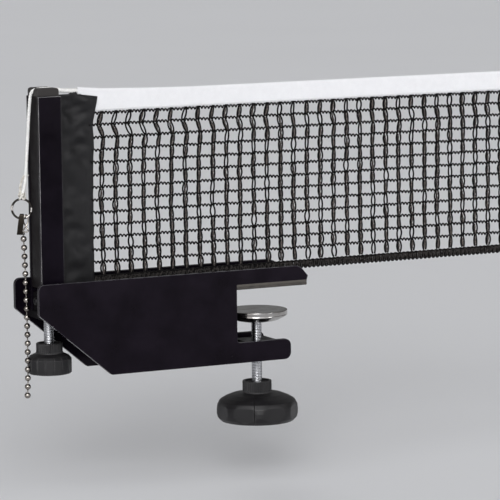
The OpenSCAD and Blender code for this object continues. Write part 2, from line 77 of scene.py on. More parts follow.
def ease(value: float, low: float, high: float) -> float:
    """Climbs smoothly from 0 to 1.

    Args:
        value: Where to read the climb.
        low: Value at which it starts.
        high: Value at which it is done.

    Returns:
        A number from 0 to 1.
    """
    share = min(max((value - low) / (high - low), 0.0), 1.0)
    return share * share * (3 - 2 * share)


def along(table: list[tuple[float, float]], place: float) -> float:
    """Reads a value between the entries of a table.

    Args:
        table: Places in rising order, each with its value.
        place: Where to read.

    Returns:
        The value there, straight between two entries and level past the ends.
    """
    if place <= table[0][0]:
        return table[0][1]
    for (x0, v0), (x1, v1) in zip(table, table[1:]):
        if place <= x1:
            return v0 + (v1 - v0) * (place - x0) / (x1 - x0)
    return table[-1][1]


def waver(x: float, y: float, z: float) -> float:
    """Reads smooth noise, from -1 to 1, at a point."""
    return noise.noise(Vector((x, y, z)))


def new_object(name: str, data: bpy.types.ID) -> bpy.types.Object:
    """Makes an object and links it to the scene.

    Args:
        name: Name of the object.
        data: Its mesh, lamp or camera.

    Returns:
        The new object.
    """
    made = bpy.data.objects.new(name, data)
    bpy.context.scene.collection.objects.link(made)
    return made


def smooth_path(points: list[Vector], step: float, looped: bool = False) -> list[Vector]:
    """Runs a smooth curve through points and spaces new points evenly on it.

    Args:
        points: Points that the curve passes through.
        step: Wanted distance between the new points.
        looped: True if the curve closes on itself.

    Returns:
        The evenly spaced points.
    """
    count = len(points)
    dense: list[Vector] = []
    for i in range(count if looped else count - 1):
        p1, p2 = points[i], points[(i + 1) % count]
        p0 = points[i - 1] if looped or i else p1 * 2 - p2
        p3 = points[(i + 2) % count] if looped or i + 2 < count else p2 * 2 - p1
        for k in range(CURVE_STEPS):
            t = k / CURVE_STEPS
            dense.append((p1 * 2 + (p2 - p0) * t + (p0 * 2 - p1 * 5 + p2 * 4 - p3) * t * t
                          + (p1 * 3 - p0 - p2 * 3 + p3) * t ** 3) / 2)
    dense.append(points[0] if looped else points[-1])
    reached = [0.0]
    for a, b in zip(dense, dense[1:]):
        reached.append(reached[-1] + (b - a).length)
    pieces = max(3, round(reached[-1] / step))
    result, at = [], 0
    for i in range(pieces if looped else pieces + 1):
        want = reached[-1] * i / pieces
        while at < len(dense) - 2 and reached[at + 1] < want:
            at += 1
        share = (want - reached[at]) / max(reached[at + 1] - reached[at], 1e-9)
        result.append(dense[at].lerp(dense[at + 1], min(share, 1.0)))
    return result


def moving_frames(path: list[Vector], looped: bool = False) -> list[tuple[Vector, Vector]]:
    """Finds two directions across a path at each of its points, without twist.

    Args:
        path: The path's points.
        looped: True if the path closes on itself.

    Returns:
        A pair of unit vectors for each point.
    """
    last = len(path) - 1
    ways = []
    for i in range(len(path)):
        behind = path[i - 1] if looped or i else path[0]
        ahead = path[(i + 1) % len(path)] if looped or i < last else path[last]
        ways.append((ahead - behind).normalized())
    side = ways[0].orthogonal().normalized()
    frames = []
    for way in ways:
        side = (side - way * side.dot(way)).normalized()
        frames.append((side.copy(), way.cross(side)))
    return frames


def lay_strands(path: list[Vector], count: int, reach: float, pitch: float) -> list[list[Vector]]:
    """Winds strands round a path, as in a twisted cord.

    Args:
        path: The cord's middle line.
        count: Number of strands.
        reach: Distance from the middle line to a strand's own middle.
        pitch: Length of one turn.

    Returns:
        One path for each strand.
    """
    runs: list[list[Vector]] = [[] for _ in range(count)]
    travelled = 0.0
    for i, (centre, (side, up)) in enumerate(zip(path, moving_frames(path))):
        travelled += (centre - path[i - 1]).length if i else 0.0
        for k, run in enumerate(runs):
            angle = TURN * (travelled / pitch + k / count)
            run.append(centre + (side * math.cos(angle) + up * math.sin(angle)) * reach)
    return runs


def rounded_outline(corners: list[tuple[float, float, float]], steps: int) -> list[Vector]:
    """Rounds the corners of an outline, as the CAD source does.

    Args:
        corners: Each corner's two places and its rounding.
        steps: Number of edges round each corner.

    Returns:
        The outline's points, with two places each.
    """
    result: list[Vector] = []
    for i, (x, y, radius) in enumerate(corners):
        here = Vector((x, y))
        if radius <= 0:
            result.append(here)
            continue
        to_a = (Vector(corners[i - 1][:2]) - here).normalized()
        to_c = (Vector(corners[(i + 1) % len(corners)][:2]) - here).normalized()
        half = math.acos(max(-1.0, min(1.0, to_a.dot(to_c)))) / 2
        centre = here + (to_a + to_c).normalized() * radius / math.sin(half)
        first = here + to_a * radius / math.tan(half) - centre
        last = here + to_c * radius / math.tan(half) - centre
        turn = math.copysign(math.pi - 2 * half, first.x * last.y - first.y * last.x)
        for k in range(steps + 1):
            a = turn * k / steps
            result.append(centre + Vector((first.x * math.cos(a) - first.y * math.sin(a),
                                           first.x * math.sin(a) + first.y * math.cos(a))))
    return result


@dataclass
class Form:
    """Points and faces of one piece in millimetres, gathered before its mesh is made."""

    points: list[Vector] = field(default_factory=list)
    faces: list[tuple[int, ...]] = field(default_factory=list)

    def skin(self, rings: list[list[Vector]], looped: bool = False, capped: bool = True,
             round_ring: bool = True) -> None:
        """Joins rows of points, each to the next.

        Args:
            rings: Rows of points, all of one length.
            looped: True if the last row joins the first.
            capped: True if the first and last rows are closed with a face.
            round_ring: True if a row's last point joins its first.
        """
        start, size = len(self.points), len(rings[0])
        for ring in rings:
            self.points.extend(ring)
        for i in range(len(rings) if looped else len(rings) - 1):
            a, b = start + i * size, start + (i + 1) % len(rings) * size
            for k in range(size if round_ring else size - 1):
                n = (k + 1) % size
                self.faces.append((a + k, a + n, b + n, b + k))
        if capped and not looped:
            self.faces.append(tuple(start + k for k in reversed(range(size))))
            self.faces.append(tuple(start + (len(rings) - 1) * size + k for k in range(size)))

    def tube(self, path: list[Vector], radius: float | list[float], sides: int,
             looped: bool = False) -> None:
        """Wraps a round skin about a path.

        Args:
            path: The tube's middle line.
            radius: Its radius, or one radius for each point.
            sides: Number of sides.
            looped: True if the tube closes on itself.
        """
        rings = []
        for i, (centre, (side, up)) in enumerate(zip(path, moving_frames(path, looped))):
            r = radius[i] if isinstance(radius, list) else radius
            angles = [TURN * k / sides for k in range(sides)]
            rings.append([centre + (side * math.cos(a) + up * math.sin(a)) * r for a in angles])
        self.skin(rings, looped=looped)

    def lathe(self, profile: list[Vector], sides: int, axis_x: float = 0.0, looped: bool = True,
              shape: Callable[[float, float, float], float] | None = None) -> None:
        """Turns a profile about an upright axis.

        Args:
            profile: Radius and height of each point.
            sides: Number of steps round the axis.
            axis_x: Where the axis stands in X.
            looped: True if the profile closes on itself.
            shape: Gives the radius for an angle, a radius and a height, where it isn't round.
        """
        rings = []
        for r, z in profile:
            ring = []
            for k in range(sides):
                angle = TURN * k / sides
                reach = shape(angle, r, z) if shape else r
                ring.append(Vector((axis_x + reach * math.cos(angle), reach * math.sin(angle), z)))
            rings.append(ring)
        self.skin(rings, looped=looped)

    def band(self, path: list[Vector], low_x: float, high_x: float, thickness: float,
             chamfer: float) -> None:
        """Bends a flat strap along a closed path that lies across the X direction.

        Args:
            path: The strap's middle line, closed.
            low_x: One edge of the strap.
            high_x: Its other edge.
            thickness: Its thickness.
            chamfer: Size of its broken edges.
        """
        rings = []
        for i, here in enumerate(path):
            way = (path[(i + 1) % len(path)] - path[i - 1]).normalized()
            out = Vector((0.0, way.z, -way.y)) * (thickness / 2)
            x0, x1, inner = low_x, high_x, out * (1 - 2 * chamfer / thickness)
            ring = [(x0 + chamfer, out), (x1 - chamfer, out), (x1, inner), (x1, -inner),
                    (x1 - chamfer, -out), (x0 + chamfer, -out), (x0, -inner), (x0, inner)]
            rings.append([Vector((x, here.y + way_out.y, here.z + way_out.z)) for x, way_out in ring])
        self.skin(rings, looped=True)

    def move(self, matrix: Matrix) -> None:
        """Moves all points by a matrix in millimetres."""
        self.points = [matrix @ p for p in self.points]

    def make(self, name: str, material: bpy.types.Material, sharp: float,
             outward: bool) -> bpy.types.Object:
        """Makes the piece's object.

        Args:
            name: Name of the piece.
            material: Its finish.
            sharp: Angle in degrees above which an edge shows as an edge.
            outward: True if the faces are turned to look out of a closed form.

        Returns:
            The new object.
        """
        mesh = bpy.data.meshes.new(name)
        mesh.from_pydata([p * MM for p in self.points], [], self.faces)
        if outward:
            turned = bmesh.new()
            turned.from_mesh(mesh)
            bmesh.ops.recalc_face_normals(turned, faces=turned.faces)
            turned.to_mesh(mesh)
            turned.free()
        mesh.shade_smooth()
        mesh.set_sharp_from_angle(angle=math.radians(sharp))
        mesh.materials.append(material)
        return new_object(name, mesh)


# ---------------------------------------------------------------- node wiring


class Wiring:
    """Adds and joins the nodes of one tree."""

    def __init__(self, tree: bpy.types.NodeTree) -> None:
        """Keeps the tree that the nodes go into."""
        self.tree = tree

    def node(self, kind: str, sockets: dict[str | int, Value] | None = None,
             **settings: object) -> bpy.types.Node:
        """Adds one node.

        Args:
            kind: Blender's name of the node.
            sockets: Values or joined sockets, by the input's name or number.
            **settings: The node's own settings.

        Returns:
            The new node.
        """
        made = self.tree.nodes.new(kind)
        for name, value in settings.items():
            setattr(made, name, value)
        for key, value in (sockets or {}).items():
            if isinstance(value, Socket):
                self.tree.links.new(value, made.inputs[key])
            else:
                made.inputs[key].default_value = value
        return made

    def sum(self, operation: str, *values: Value, clamp: bool = False) -> Socket:
        """Works out one number.

        Args:
            operation: Blender's name of the operation.
            *values: What goes into it.
            clamp: True if the answer stays from 0 to 1.

        Returns:
            The answer's socket.
        """
        return self.node("ShaderNodeMath", dict(enumerate(values)), operation=operation,
                         use_clamp=clamp).outputs[0]

    def span(self, value: Value, low: float, high: float, to_low: float = 0.0,
             to_high: float = 1.0) -> Socket:
        """Maps a stretch of values to another, and holds it there.

        Args:
            value: The value that is mapped.
            low: Start of its stretch.
            high: End of its stretch.
            to_low: What the start becomes.
            to_high: What the end becomes.

        Returns:
            The mapped value's socket.
        """
        stretch = {0: value, 1: low, 2: high, 3: to_low, 4: to_high}
        return self.node("ShaderNodeMapRange", stretch).outputs[0]

    def tint(self, mask: Value, first: Value, second: Value) -> Socket:
        """Mixes two colours.

        Args:
            mask: 0 for the first colour, 1 for the second.
            first: The first colour.
            second: The second colour.

        Returns:
            The mixed colour's socket.
        """
        made = self.node("ShaderNodeMix", {0: mask, 6: first, 7: second}, data_type="RGBA")
        return made.outputs[2]

    def times(self, first: Value, *others: Value, clamp: bool = False) -> Socket:
        """Multiplies values, one after the other.

        Args:
            first: The first value.
            *others: What it is multiplied by.
            clamp: True if the answer stays from 0 to 1.

        Returns:
            The answer's socket.
        """
        for other in others[:-1]:
            first = self.sum("MULTIPLY", first, other)
        return self.sum("MULTIPLY", first, others[-1], clamp=clamp)

    def place(self) -> Socket:
        """Gives the place on the object, in metres."""
        return self.node("ShaderNodeTexCoord").outputs["Object"]

    def axes(self) -> Sockets:
        """Gives the place on the object as its X, Y and Z."""
        return self.node("ShaderNodeSeparateXYZ", {0: self.place()}).outputs

    def angle(self, axis_x: float) -> Socket:
        """Gives the angle of the place on the object round an upright axis."""
        spot = self.axes()
        return self.sum("ARCTAN2", spot["Y"], self.sum("SUBTRACT", spot["X"], axis_x))

    def pattern(self, scale: Value, detail: float, roughness: float = 0.5,
                spot: Value | None = None) -> Socket:
        """Spreads soft noise over the surface.

        Args:
            scale: How fine it is.
            detail: How many finer layers it has.
            roughness: How strong the finer layers are.
            spot: Where it is read, if not at the place on the object.

        Returns:
            The noise's socket.
        """
        spot = self.place() if spot is None else spot
        return self.node("ShaderNodeTexNoise", {"Vector": spot, "Scale": scale, "Detail": detail,
                                                "Roughness": roughness}).outputs[0]


def open_tree(owner: bpy.types.ID) -> Wiring:
    """Clears the node tree of a material or a world.

    Args:
        owner: The material or the world.

    Returns:
        The tree's wiring.
    """
    owner.use_nodes = True
    owner.node_tree.nodes.clear()
    return Wiring(owner.node_tree)


class Effect(Enum):
    """Effects that several finishes share."""

    GRAIN = "surface_grain"
    WEAR_AND_SHINE = "edge_wear_and_highlight"
    DUST = "settled_dust"
    CLOTH = "cloth_weave"
    TURNED = "turning_marks"


class Effects:
    """Node groups of the shared effects, each built once."""

    def __init__(self) -> None:
        """Starts with no group built."""
        self.built: dict[Effect, bpy.types.NodeTree] = {}

    def build(self, effect: Effect) -> bpy.types.NodeTree:
        """Builds an effect's group, with its inputs' usual values and its named outputs.

        Args:
            effect: The effect.

        Returns:
            The group.
        """
        wire, inputs, outputs = {
            Effect.GRAIN: (self.grain, {"Scale": 800.0, "Cloud Scale": 40.0}, ("Height", "Cloud")),
            Effect.WEAR_AND_SHINE: (self.wear, {"Radius": 0.0006, "Patch Scale": 120.0, "Amount": 0.5}, ("Mask",)),
            Effect.DUST: (self.dust, {"Amount": 0.1, "Scale": 90.0}, ("Mask",)),
            Effect.CLOTH: (self.cloth, {"Threads": 1800.0, "Slub Scale": 260.0}, ("Height", "Slub")),
            Effect.TURNED: (self.turned, {"Axis X": 0.0, "Rings": 1500.0}, ("Height",))}[effect]
        tree = bpy.data.node_groups.new(effect.value, "ShaderNodeTree")
        for name, usual in inputs.items():
            made = tree.interface.new_socket(name=name, in_out="INPUT", socket_type="NodeSocketFloat")
            made.default_value = usual
        for name in outputs:
            tree.interface.new_socket(name=name, in_out="OUTPUT", socket_type="NodeSocketFloat")
        w = Wiring(tree)
        results = wire(w, w.node("NodeGroupInput").outputs)
        w.node("NodeGroupOutput", dict(zip(outputs, results)))
        return tree

    def grain(self, w: Wiring, given: Sockets) -> tuple[Socket, ...]:
        """Gives the fine unevenness and the broad cloudiness of a surface."""
        cloud = w.pattern(given["Cloud Scale"], 4.0, 0.6)
        return w.pattern(given["Scale"], 3.0), w.span(cloud, 0.35, 0.65)

    def wear(self, w: Wiring, given: Sockets) -> tuple[Socket, ...]:
        """Finds rubbed edges, where a rounded normal leaves the true one, and the lit edges that get a
        painted highlight.

        Args:
            w: The group's wiring.
            given: The group's inputs.

        Returns:
            The mask, strongest on edges that face out (-X) or up, where hands rub and where the key lamps
            fall, so the pale colour laid through it is partly painted highlight.
        """
        rounded = w.node("ShaderNodeBevel", {"Radius": given["Radius"]}, samples=4).outputs[0]
        true = w.node("ShaderNodeNewGeometry").outputs["Normal"]
        same = w.node("ShaderNodeVectorMath", {0: rounded, 1: true}, operation="DOT_PRODUCT")
        edge = w.span(same.outputs["Value"], 0.997, 0.94)
        patches = w.span(w.pattern(given["Patch Scale"], 5.0, 0.7), 0.36, 0.56, 0.45, 1.0)
        facing = w.node("ShaderNodeSeparateXYZ", {0: rounded}).outputs
        # edges turned to -X or up face the key lamps, so this bias paints highlight as well as wear
        handled_and_lit = w.sum("MAXIMUM", w.times(facing["X"], -1.0), facing["Z"])
        reached = w.span(handled_and_lit, 0.05, 0.4, 0.15, 1.0)
        return (w.times(edge, patches, reached, given["Amount"], clamp=True),)

    def dust(self, w: Wiring, given: Sockets) -> tuple[Socket, ...]:
        """Lays thin dust on what faces up.

        Args:
            w: The group's wiring.
            given: The group's inputs.

        Returns:
            The dust's mask.
        """
        true = w.node("ShaderNodeNewGeometry").outputs["Normal"]
        up = w.span(w.node("ShaderNodeSeparateXYZ", {0: true}).outputs["Z"], 0.2, 0.95)
        specks = w.span(w.pattern(given["Scale"], 8.0, 0.75), 0.4, 0.7)
        return (w.times(up, specks, given["Amount"], clamp=True),)

    def cloth(self, w: Wiring, given: Sockets) -> tuple[Socket, ...]:
        """Weaves plain cloth that lies along X and Z.

        Args:
            w: The group's wiring.
            given: The group's inputs.

        Returns:
            The weave's height, and its thicker and thinner threads.
        """
        spot = w.axes()
        across, down = (w.sum("SINE", w.times(spot[way], given["Threads"], math.pi)) for way in "XZ")
        over = w.sum("GREATER_THAN", w.times(across, down), 0.0)
        warp = w.times(w.sum("ABSOLUTE", across), over)
        weft = w.times(w.sum("ABSOLUTE", down), w.sum("SUBTRACT", 1.0, over))
        return w.sum("ADD", warp, weft), w.span(w.pattern(given["Slub Scale"], 4.0), 0.3, 0.7)

    def turned(self, w: Wiring, given: Sockets) -> tuple[Socket, ...]:
        """Draws fine rings about an upright axis, left by turning or spinning.

        Args:
            w: The group's wiring.
            given: The group's inputs.

        Returns:
            The rings' height.
        """
        spot = w.axes()
        x = w.sum("SUBTRACT", spot["X"], given["Axis X"])
        radius = w.sum("SQRT", w.sum("ADD", w.times(x, x), w.times(spot["Y"], spot["Y"])))
        level = w.node("ShaderNodeCombineXYZ", {0: radius, 2: spot["Z"]}).outputs[0]
        return (w.pattern(given["Rings"], 3.0, spot=level),)

    def add(self, w: Wiring, effect: Effect, **values: float) -> Sockets:
        """Places an effect's group in a material.

        Args:
            w: The material's wiring.
            effect: Which effect.
            **values: Values of its inputs, with spaces in their names as underscores.

        Returns:
            The group's outputs.
        """
        if effect not in self.built:
            self.built[effect] = self.build(effect)
        made = w.node("ShaderNodeGroup", node_tree=self.built[effect])
        for name, value in values.items():
            made.inputs[name.replace("_", " ")].default_value = value
        return made.outputs


EFFECTS = Effects()
Colour = tuple[float, float, float]


def paint(colour: Colour, share: float = 1.0) -> tuple[float, ...]:
    """Gives a colour full cover, made lighter or darker by a share and held at 1."""
    return (*(min(c * share, 1.0) for c in colour), 1.0)


@dataclass(frozen=True)
class Finish:
    """What every finish has: a name, a colour, a second colour and how dull it is."""

    name: str
    colour: Colour
    second: Colour
    roughness: float

    def build(self) -> bpy.types.Material:
        """Makes the finish's material.

        Returns:
            The material.
        """
        material = bpy.data.materials.new(self.name)
        w = open_tree(material)
        shader = w.node("ShaderNodeBsdfPrincipled")
        self.wire(w, shader)
        w.node("ShaderNodeOutputMaterial", {"Surface": shader.outputs[0]})
        return material

    def wire(self, w: Wiring, shader: bpy.types.Node) -> None:
        """Joins the finish's nodes to its shader; each kind of finish has its own."""
        raise NotImplementedError

    def dull(self, w: Wiring, mask: Value, least: float, most: float, low: float = 0.0,
             high: float = 1.0) -> Socket:
        """Varies the dullness between two shares of it, as a mask goes from low to high."""
        return w.span(mask, low, high, self.roughness * least, min(self.roughness * most, 1.0))

    def join(self, w: Wiring, shader: bpy.types.Node, base: Value, dull: Value, height: Value,
             depth: float, **constants: Value) -> None:
        """Joins the finished surface to its shader.

        Args:
            w: The material's wiring.
            shader: The shader.
            base: The surface's colour.
            dull: Its roughness.
            height: Its fine height.
            depth: Depth of a height of 1, in metres.
            **constants: Plain values of other inputs, with spaces in their names as underscores.
        """
        w.tree.links.new(base, shader.inputs["Base Color"])
        w.tree.links.new(dull, shader.inputs["Roughness"])
        for name, value in constants.items():
            shader.inputs[name.replace("_", " ")].default_value = value
        bump = w.node("ShaderNodeBump", {"Strength": 1.0, "Distance": depth, "Height": height})
        w.tree.links.new(bump.outputs[0], shader.inputs["Normal"])

    def cover(self, w: Wiring, shader: bpy.types.Node, mask: Value, colour: Colour) -> None:
        """Paints a colour over the joined one where a mask is 1."""
        base = shader.inputs["Base Color"].links[0].from_socket
        w.tree.links.new(w.tint(mask, base, paint(colour)), shader.inputs["Base Color"])


@dataclass(frozen=True)
class Enamel(Finish):
    """Stove enamel on steel: a glossy coat with a slight peel, thin at the edges, whose pale edge colour is
    partly painted highlight.
    """

    specular: float = 0.14
    peel: float = 0.000012
    wear: float = 0.75
    wear_and_shine_from_z: float = -1.0
    wear_and_shine_to_y: float = 1.0
    smudge: float = 0.75
    smudge_share: float = 2.4
    shine: Colour = (1.0, 0.87, 1.0)
    dust_colour: Colour = (0.24, 0.23, 0.22)
    dust_dull: float = 1.6

    def wire(self, w: Wiring, shader: bpy.types.Node) -> None:
        """Joins peel, cloudy gloss, worn edges with a painted highlight, and dust.

        Args:
            w: The material's wiring.
            shader: The material's shader.
        """
        grain = EFFECTS.add(w, Effect.GRAIN, Scale=420.0, Cloud_Scale=35.0)
        worn = EFFECTS.add(w, Effect.WEAR_AND_SHINE, Radius=0.0007, Patch_Scale=45.0, Amount=self.wear)
        dust = EFFECTS.add(w, Effect.DUST, Amount=0.08, Scale=140.0)
        spot = w.axes()
        # painted highlight and wear on the edges are kept above a height and in front of a depth, leaving the
        # edges shaded by the plates dark
        reached = w.times(w.span(spot["Z"], self.wear_and_shine_from_z, self.wear_and_shine_from_z + 0.004),
                          w.span(spot["Y"], self.wear_and_shine_to_y, self.wear_and_shine_to_y - 0.003))
        base = w.tint(w.times(grain["Cloud"], self.smudge), paint(self.colour),
                      paint(self.colour, self.smudge_share))
        # pale second colour on the edges: wear plus a painted highlight line
        base = w.tint(w.times(worn["Mask"], reached), base, paint(self.second))
        base = w.tint(dust["Mask"], base, paint(self.dust_colour))
        dull = w.sum("ADD", self.dull(w, grain["Cloud"], 0.7, 1.7), w.times(dust["Mask"], self.dust_dull))
        self.join(w, shader, base, dull, grain["Height"], self.peel, Specular_IOR_Level=self.specular,
                  Specular_Tint=paint(self.shine))


@dataclass(frozen=True)
class Moulded(Finish):
    """Moulded plastic with a fine grain and paler rubbed edges, which are partly painted highlight."""

    grain_scale: float = 2600.0
    depth: float = 0.00003
    wear: float = 0.6
    specular: float = 0.4
    dust: float = 0.035
    flow_share: float = 1.22
    dust_colour: Colour = (0.2, 0.195, 0.185)

    def wire(self, w: Wiring, shader: bpy.types.Node) -> None:
        """Joins grain, flow clouds, rubbed edges with a painted highlight, and dust.

        Args:
            w: The material's wiring.
            shader: The material's shader.
        """
        grain = EFFECTS.add(w, Effect.GRAIN, Scale=self.grain_scale, Cloud_Scale=60.0)
        worn = EFFECTS.add(w, Effect.WEAR_AND_SHINE, Radius=0.0007, Patch_Scale=90.0, Amount=self.wear)
        dust = EFFECTS.add(w, Effect.DUST, Amount=self.dust, Scale=170.0)
        base = w.tint(grain["Cloud"], paint(self.colour), paint(self.colour, self.flow_share))
        # paler second colour on the edges: wear plus painted highlight
        base = w.tint(worn["Mask"], base, paint(self.second))
        base = w.tint(dust["Mask"], base, paint(self.dust_colour))
        self.join(w, shader, base, self.dull(w, grain["Cloud"], 0.85, 1.15), grain["Height"], self.depth,
                  Specular_IOR_Level=self.specular)


@dataclass(frozen=True)
class Gripped(Moulded):
    """Knob plastic with the fine dark line where its mould closed."""

    axis_x: float = 0.0
    seam_angle: float = -2.1118
    seam_half: float = 0.011
    seam_cover: float = 0.8
    seam_colour: Colour = (0.0015, 0.0015, 0.0015)

    def wire(self, w: Wiring, shader: bpy.types.Node) -> None:
        """Joins the moulded plastic and draws its seam on both sides.

        Args:
            w: The material's wiring.
            shader: The material's shader.
        """
        super().wire(w, shader)
        turn = w.sum("SUBTRACT", w.angle(self.axis_x), self.seam_angle)
        seam = w.span(w.sum("ABSOLUTE", w.sum("SINE", turn)), self.seam_half * 1.6, self.seam_half * 0.6)
        self.cover(w, shader, w.times(seam, self.seam_cover), self.seam_colour)


@dataclass(frozen=True)
class Plated(Finish):
    """Plated or bare metal with turning marks and cloudy stains."""

    axis_x: float = 0.0
    rings: float = 1500.0
    depth: float = 0.000006
    stain: float = 0.35
    wear: float = 0.2
    grain: float = 0.4
    rim: float = 1.0
    bright_share: float = 1.3

    def wire(self, w: Wiring, shader: bpy.types.Node) -> None:
        """Joins turning marks, stains and bright edges on a metal; the bright edges are wear plus painted
        highlight.

        Args:
            w: The material's wiring.
            shader: The material's shader.
        """
        grain = EFFECTS.add(w, Effect.GRAIN, Scale=1900.0, Cloud_Scale=110.0)
        turned = EFFECTS.add(w, Effect.TURNED, Axis_X=self.axis_x, Rings=self.rings)
        worn = EFFECTS.add(w, Effect.WEAR_AND_SHINE, Radius=0.0004, Patch_Scale=200.0, Amount=self.wear)
        base = w.tint(w.times(grain["Cloud"], self.stain), paint(self.colour), paint(self.second))
        # brighter edges: wear plus painted highlight
        base = w.tint(worn["Mask"], base, paint(self.colour, self.bright_share))
        height = w.sum("ADD", turned["Height"], w.times(grain["Height"], self.grain))
        self.join(w, shader, base, self.dull(w, grain["Cloud"], 0.8, 1.5), height, self.depth,
                  Metallic=1.0, Specular_Tint=paint((self.rim,) * 3))


@dataclass(frozen=True)
class Rubber(Finish):
    """Dull ribbed rubber with a bloom of grey on it."""

    ply_z: float = 0.002
    ply_edge: float = 0.0001
    bloom: float = 0.4
    bloom_share: float = 1.6
    dust_colour: Colour = (0.2, 0.19, 0.18)
    specular: float = 0.3
    pores: float = 0.00005

    def wire(self, w: Wiring, shader: bpy.types.Node) -> None:
        """Joins pores, bloom and the two plies' tones.

        Args:
            w: The material's wiring.
            shader: The material's shader.
        """
        grain = EFFECTS.add(w, Effect.GRAIN, Scale=1500.0, Cloud_Scale=180.0)
        dust = EFFECTS.add(w, Effect.DUST, Amount=0.25, Scale=300.0)
        ply = w.span(w.axes()["Z"], self.ply_z - self.ply_edge, self.ply_z + self.ply_edge)
        base = w.tint(ply, paint(self.second), paint(self.colour))
        base = w.tint(w.times(grain["Cloud"], self.bloom), base, paint(self.colour, self.bloom_share))
        base = w.tint(dust["Mask"], base, paint(self.dust_colour))
        self.join(w, shader, base, self.dull(w, grain["Height"], 0.9, 1.0, *FIBRES), grain["Height"],
                  self.pores, Specular_IOR_Level=self.specular)


@dataclass(frozen=True)
class Woven(Finish):
    """Woven cloth: threads over and under, slubs and a soft sheen."""

    threads: float = 1800.0
    depth: float = 0.00012
    sheen: float = 0.25
    sheen_dull: float = 0.5
    specular: float = 0.25
    slubs: float = 0.3
    fading: float = 0.2
    fuzz: float = 0.5

    def wire(self, w: Wiring, shader: bpy.types.Node) -> None:
        """Joins the weave's height, painted shade in the weave's low points, and slubs.

        Args:
            w: The material's wiring.
            shader: The material's shader.
        """
        cloth = EFFECTS.add(w, Effect.CLOTH, Threads=self.threads, Slub_Scale=260.0)
        fuzz = EFFECTS.add(w, Effect.GRAIN, Scale=5200.0, Cloud_Scale=55.0)
        # painted shade: the low points of the weave take the darker second colour
        base = w.tint(w.span(cloth["Height"], 0.0, 0.8), paint(self.second), paint(self.colour))
        for mask, share in ((cloth["Slub"], self.slubs), (fuzz["Cloud"], self.fading)):
            base = w.tint(w.times(mask, share), base, paint(self.second))
        height = w.sum("ADD", cloth["Height"], w.times(fuzz["Height"], self.fuzz))
        self.join(w, shader, base, self.dull(w, fuzz["Height"], 1.0, 1.15, *FIBRES), height, self.depth,
                  Specular_IOR_Level=self.specular, Sheen_Weight=self.sheen,
                  Sheen_Roughness=self.sheen_dull)


@dataclass(frozen=True)
class Spun(Finish):
    """Spun thread: fine hairs, a little sheen and uneven dye."""

    hair: float = 4200.0
    depth: float = 0.00010
    sheen: float = 0.3
    sheen_dull: float = 0.45
    specular: float = 0.25
    hair_shade: float = 0.7
    dye_shade: float = 0.35

    def wire(self, w: Wiring, shader: bpy.types.Node) -> None:
        """Joins the hairs and the uneven dye.

        Args:
            w: The material's wiring.
            shader: The material's shader.
        """
        hair = EFFECTS.add(w, Effect.GRAIN, Scale=self.hair, Cloud_Scale=420.0)
        dye = EFFECTS.add(w, Effect.GRAIN, Scale=900.0, Cloud_Scale=30.0)
        base: Value = paint(self.colour)
        for mask, share in ((hair["Cloud"], self.hair_shade), (dye["Cloud"], self.dye_shade)):
            base = w.tint(w.times(mask, share), base, paint(self.second))
        self.join(w, shader, base, self.dull(w, dye["Height"], 0.9, 1.0, *FIBRES), hair["Height"],
                  self.depth, Specular_IOR_Level=self.specular, Sheen_Weight=self.sheen,
                  Sheen_Roughness=self.sheen_dull)


@dataclass(frozen=True)
class RingWithPaintedGlints(Plated):
    """Dark plating on a ring, with painted glints of reflected light in a few places round it."""

    centre_z: float = 0.069
    turned: float = 0.8988
    # colour of the painted glints
    bright: Colour = (0.90, 0.86, 0.82)
    glint_angles: tuple[float, ...] = (3.05, -0.10, -0.93)
    glint_edge: tuple[float, float] = (0.14, 0.08)

    def wire(self, w: Wiring, shader: bpy.types.Node) -> None:
        """Joins the metal and paints bright glints at a few angles round the ring.

        Args:
            w: The material's wiring.
            shader: The material's shader.
        """
        super().wire(w, shader)
        # painted reflection: bright patches at fixed angles round the ring, where its highlights fall
        spot = w.axes()
        x = w.sum("DIVIDE", w.sum("SUBTRACT", spot["X"], self.axis_x), self.turned)
        angle = w.sum("ARCTAN2", w.sum("SUBTRACT", spot["Z"], self.centre_z), x)
        mask: Value = 0.0
        for place in self.glint_angles:
            off = w.sum("ABSOLUTE", w.sum("SINE", w.times(w.sum("SUBTRACT", angle, place), 0.5)))
            mask = w.sum("MAXIMUM", mask, w.span(off, *self.glint_edge))
        self.cover(w, shader, mask, self.bright)


@dataclass(frozen=True)
class Beaded(Plated):
    """Plated beads, each with the seam where its shell closes."""

    seam_angle: float = 2.2
    seam_edge: tuple[float, float] = (0.05, 0.02)
    seam_colour: Colour = (0.03, 0.028, 0.025)

    def wire(self, w: Wiring, shader: bpy.types.Node) -> None:
        """Joins the metal and darkens the seam down each bead.

        Args:
            w: The material's wiring.
            shader: The material's shader.
        """
        super().wire(w, shader)
        off = w.sum("ABSOLUTE", w.sum("SUBTRACT", w.angle(self.axis_x), self.seam_angle))
        self.cover(w, shader, w.span(off, *self.seam_edge), self.seam_colour)


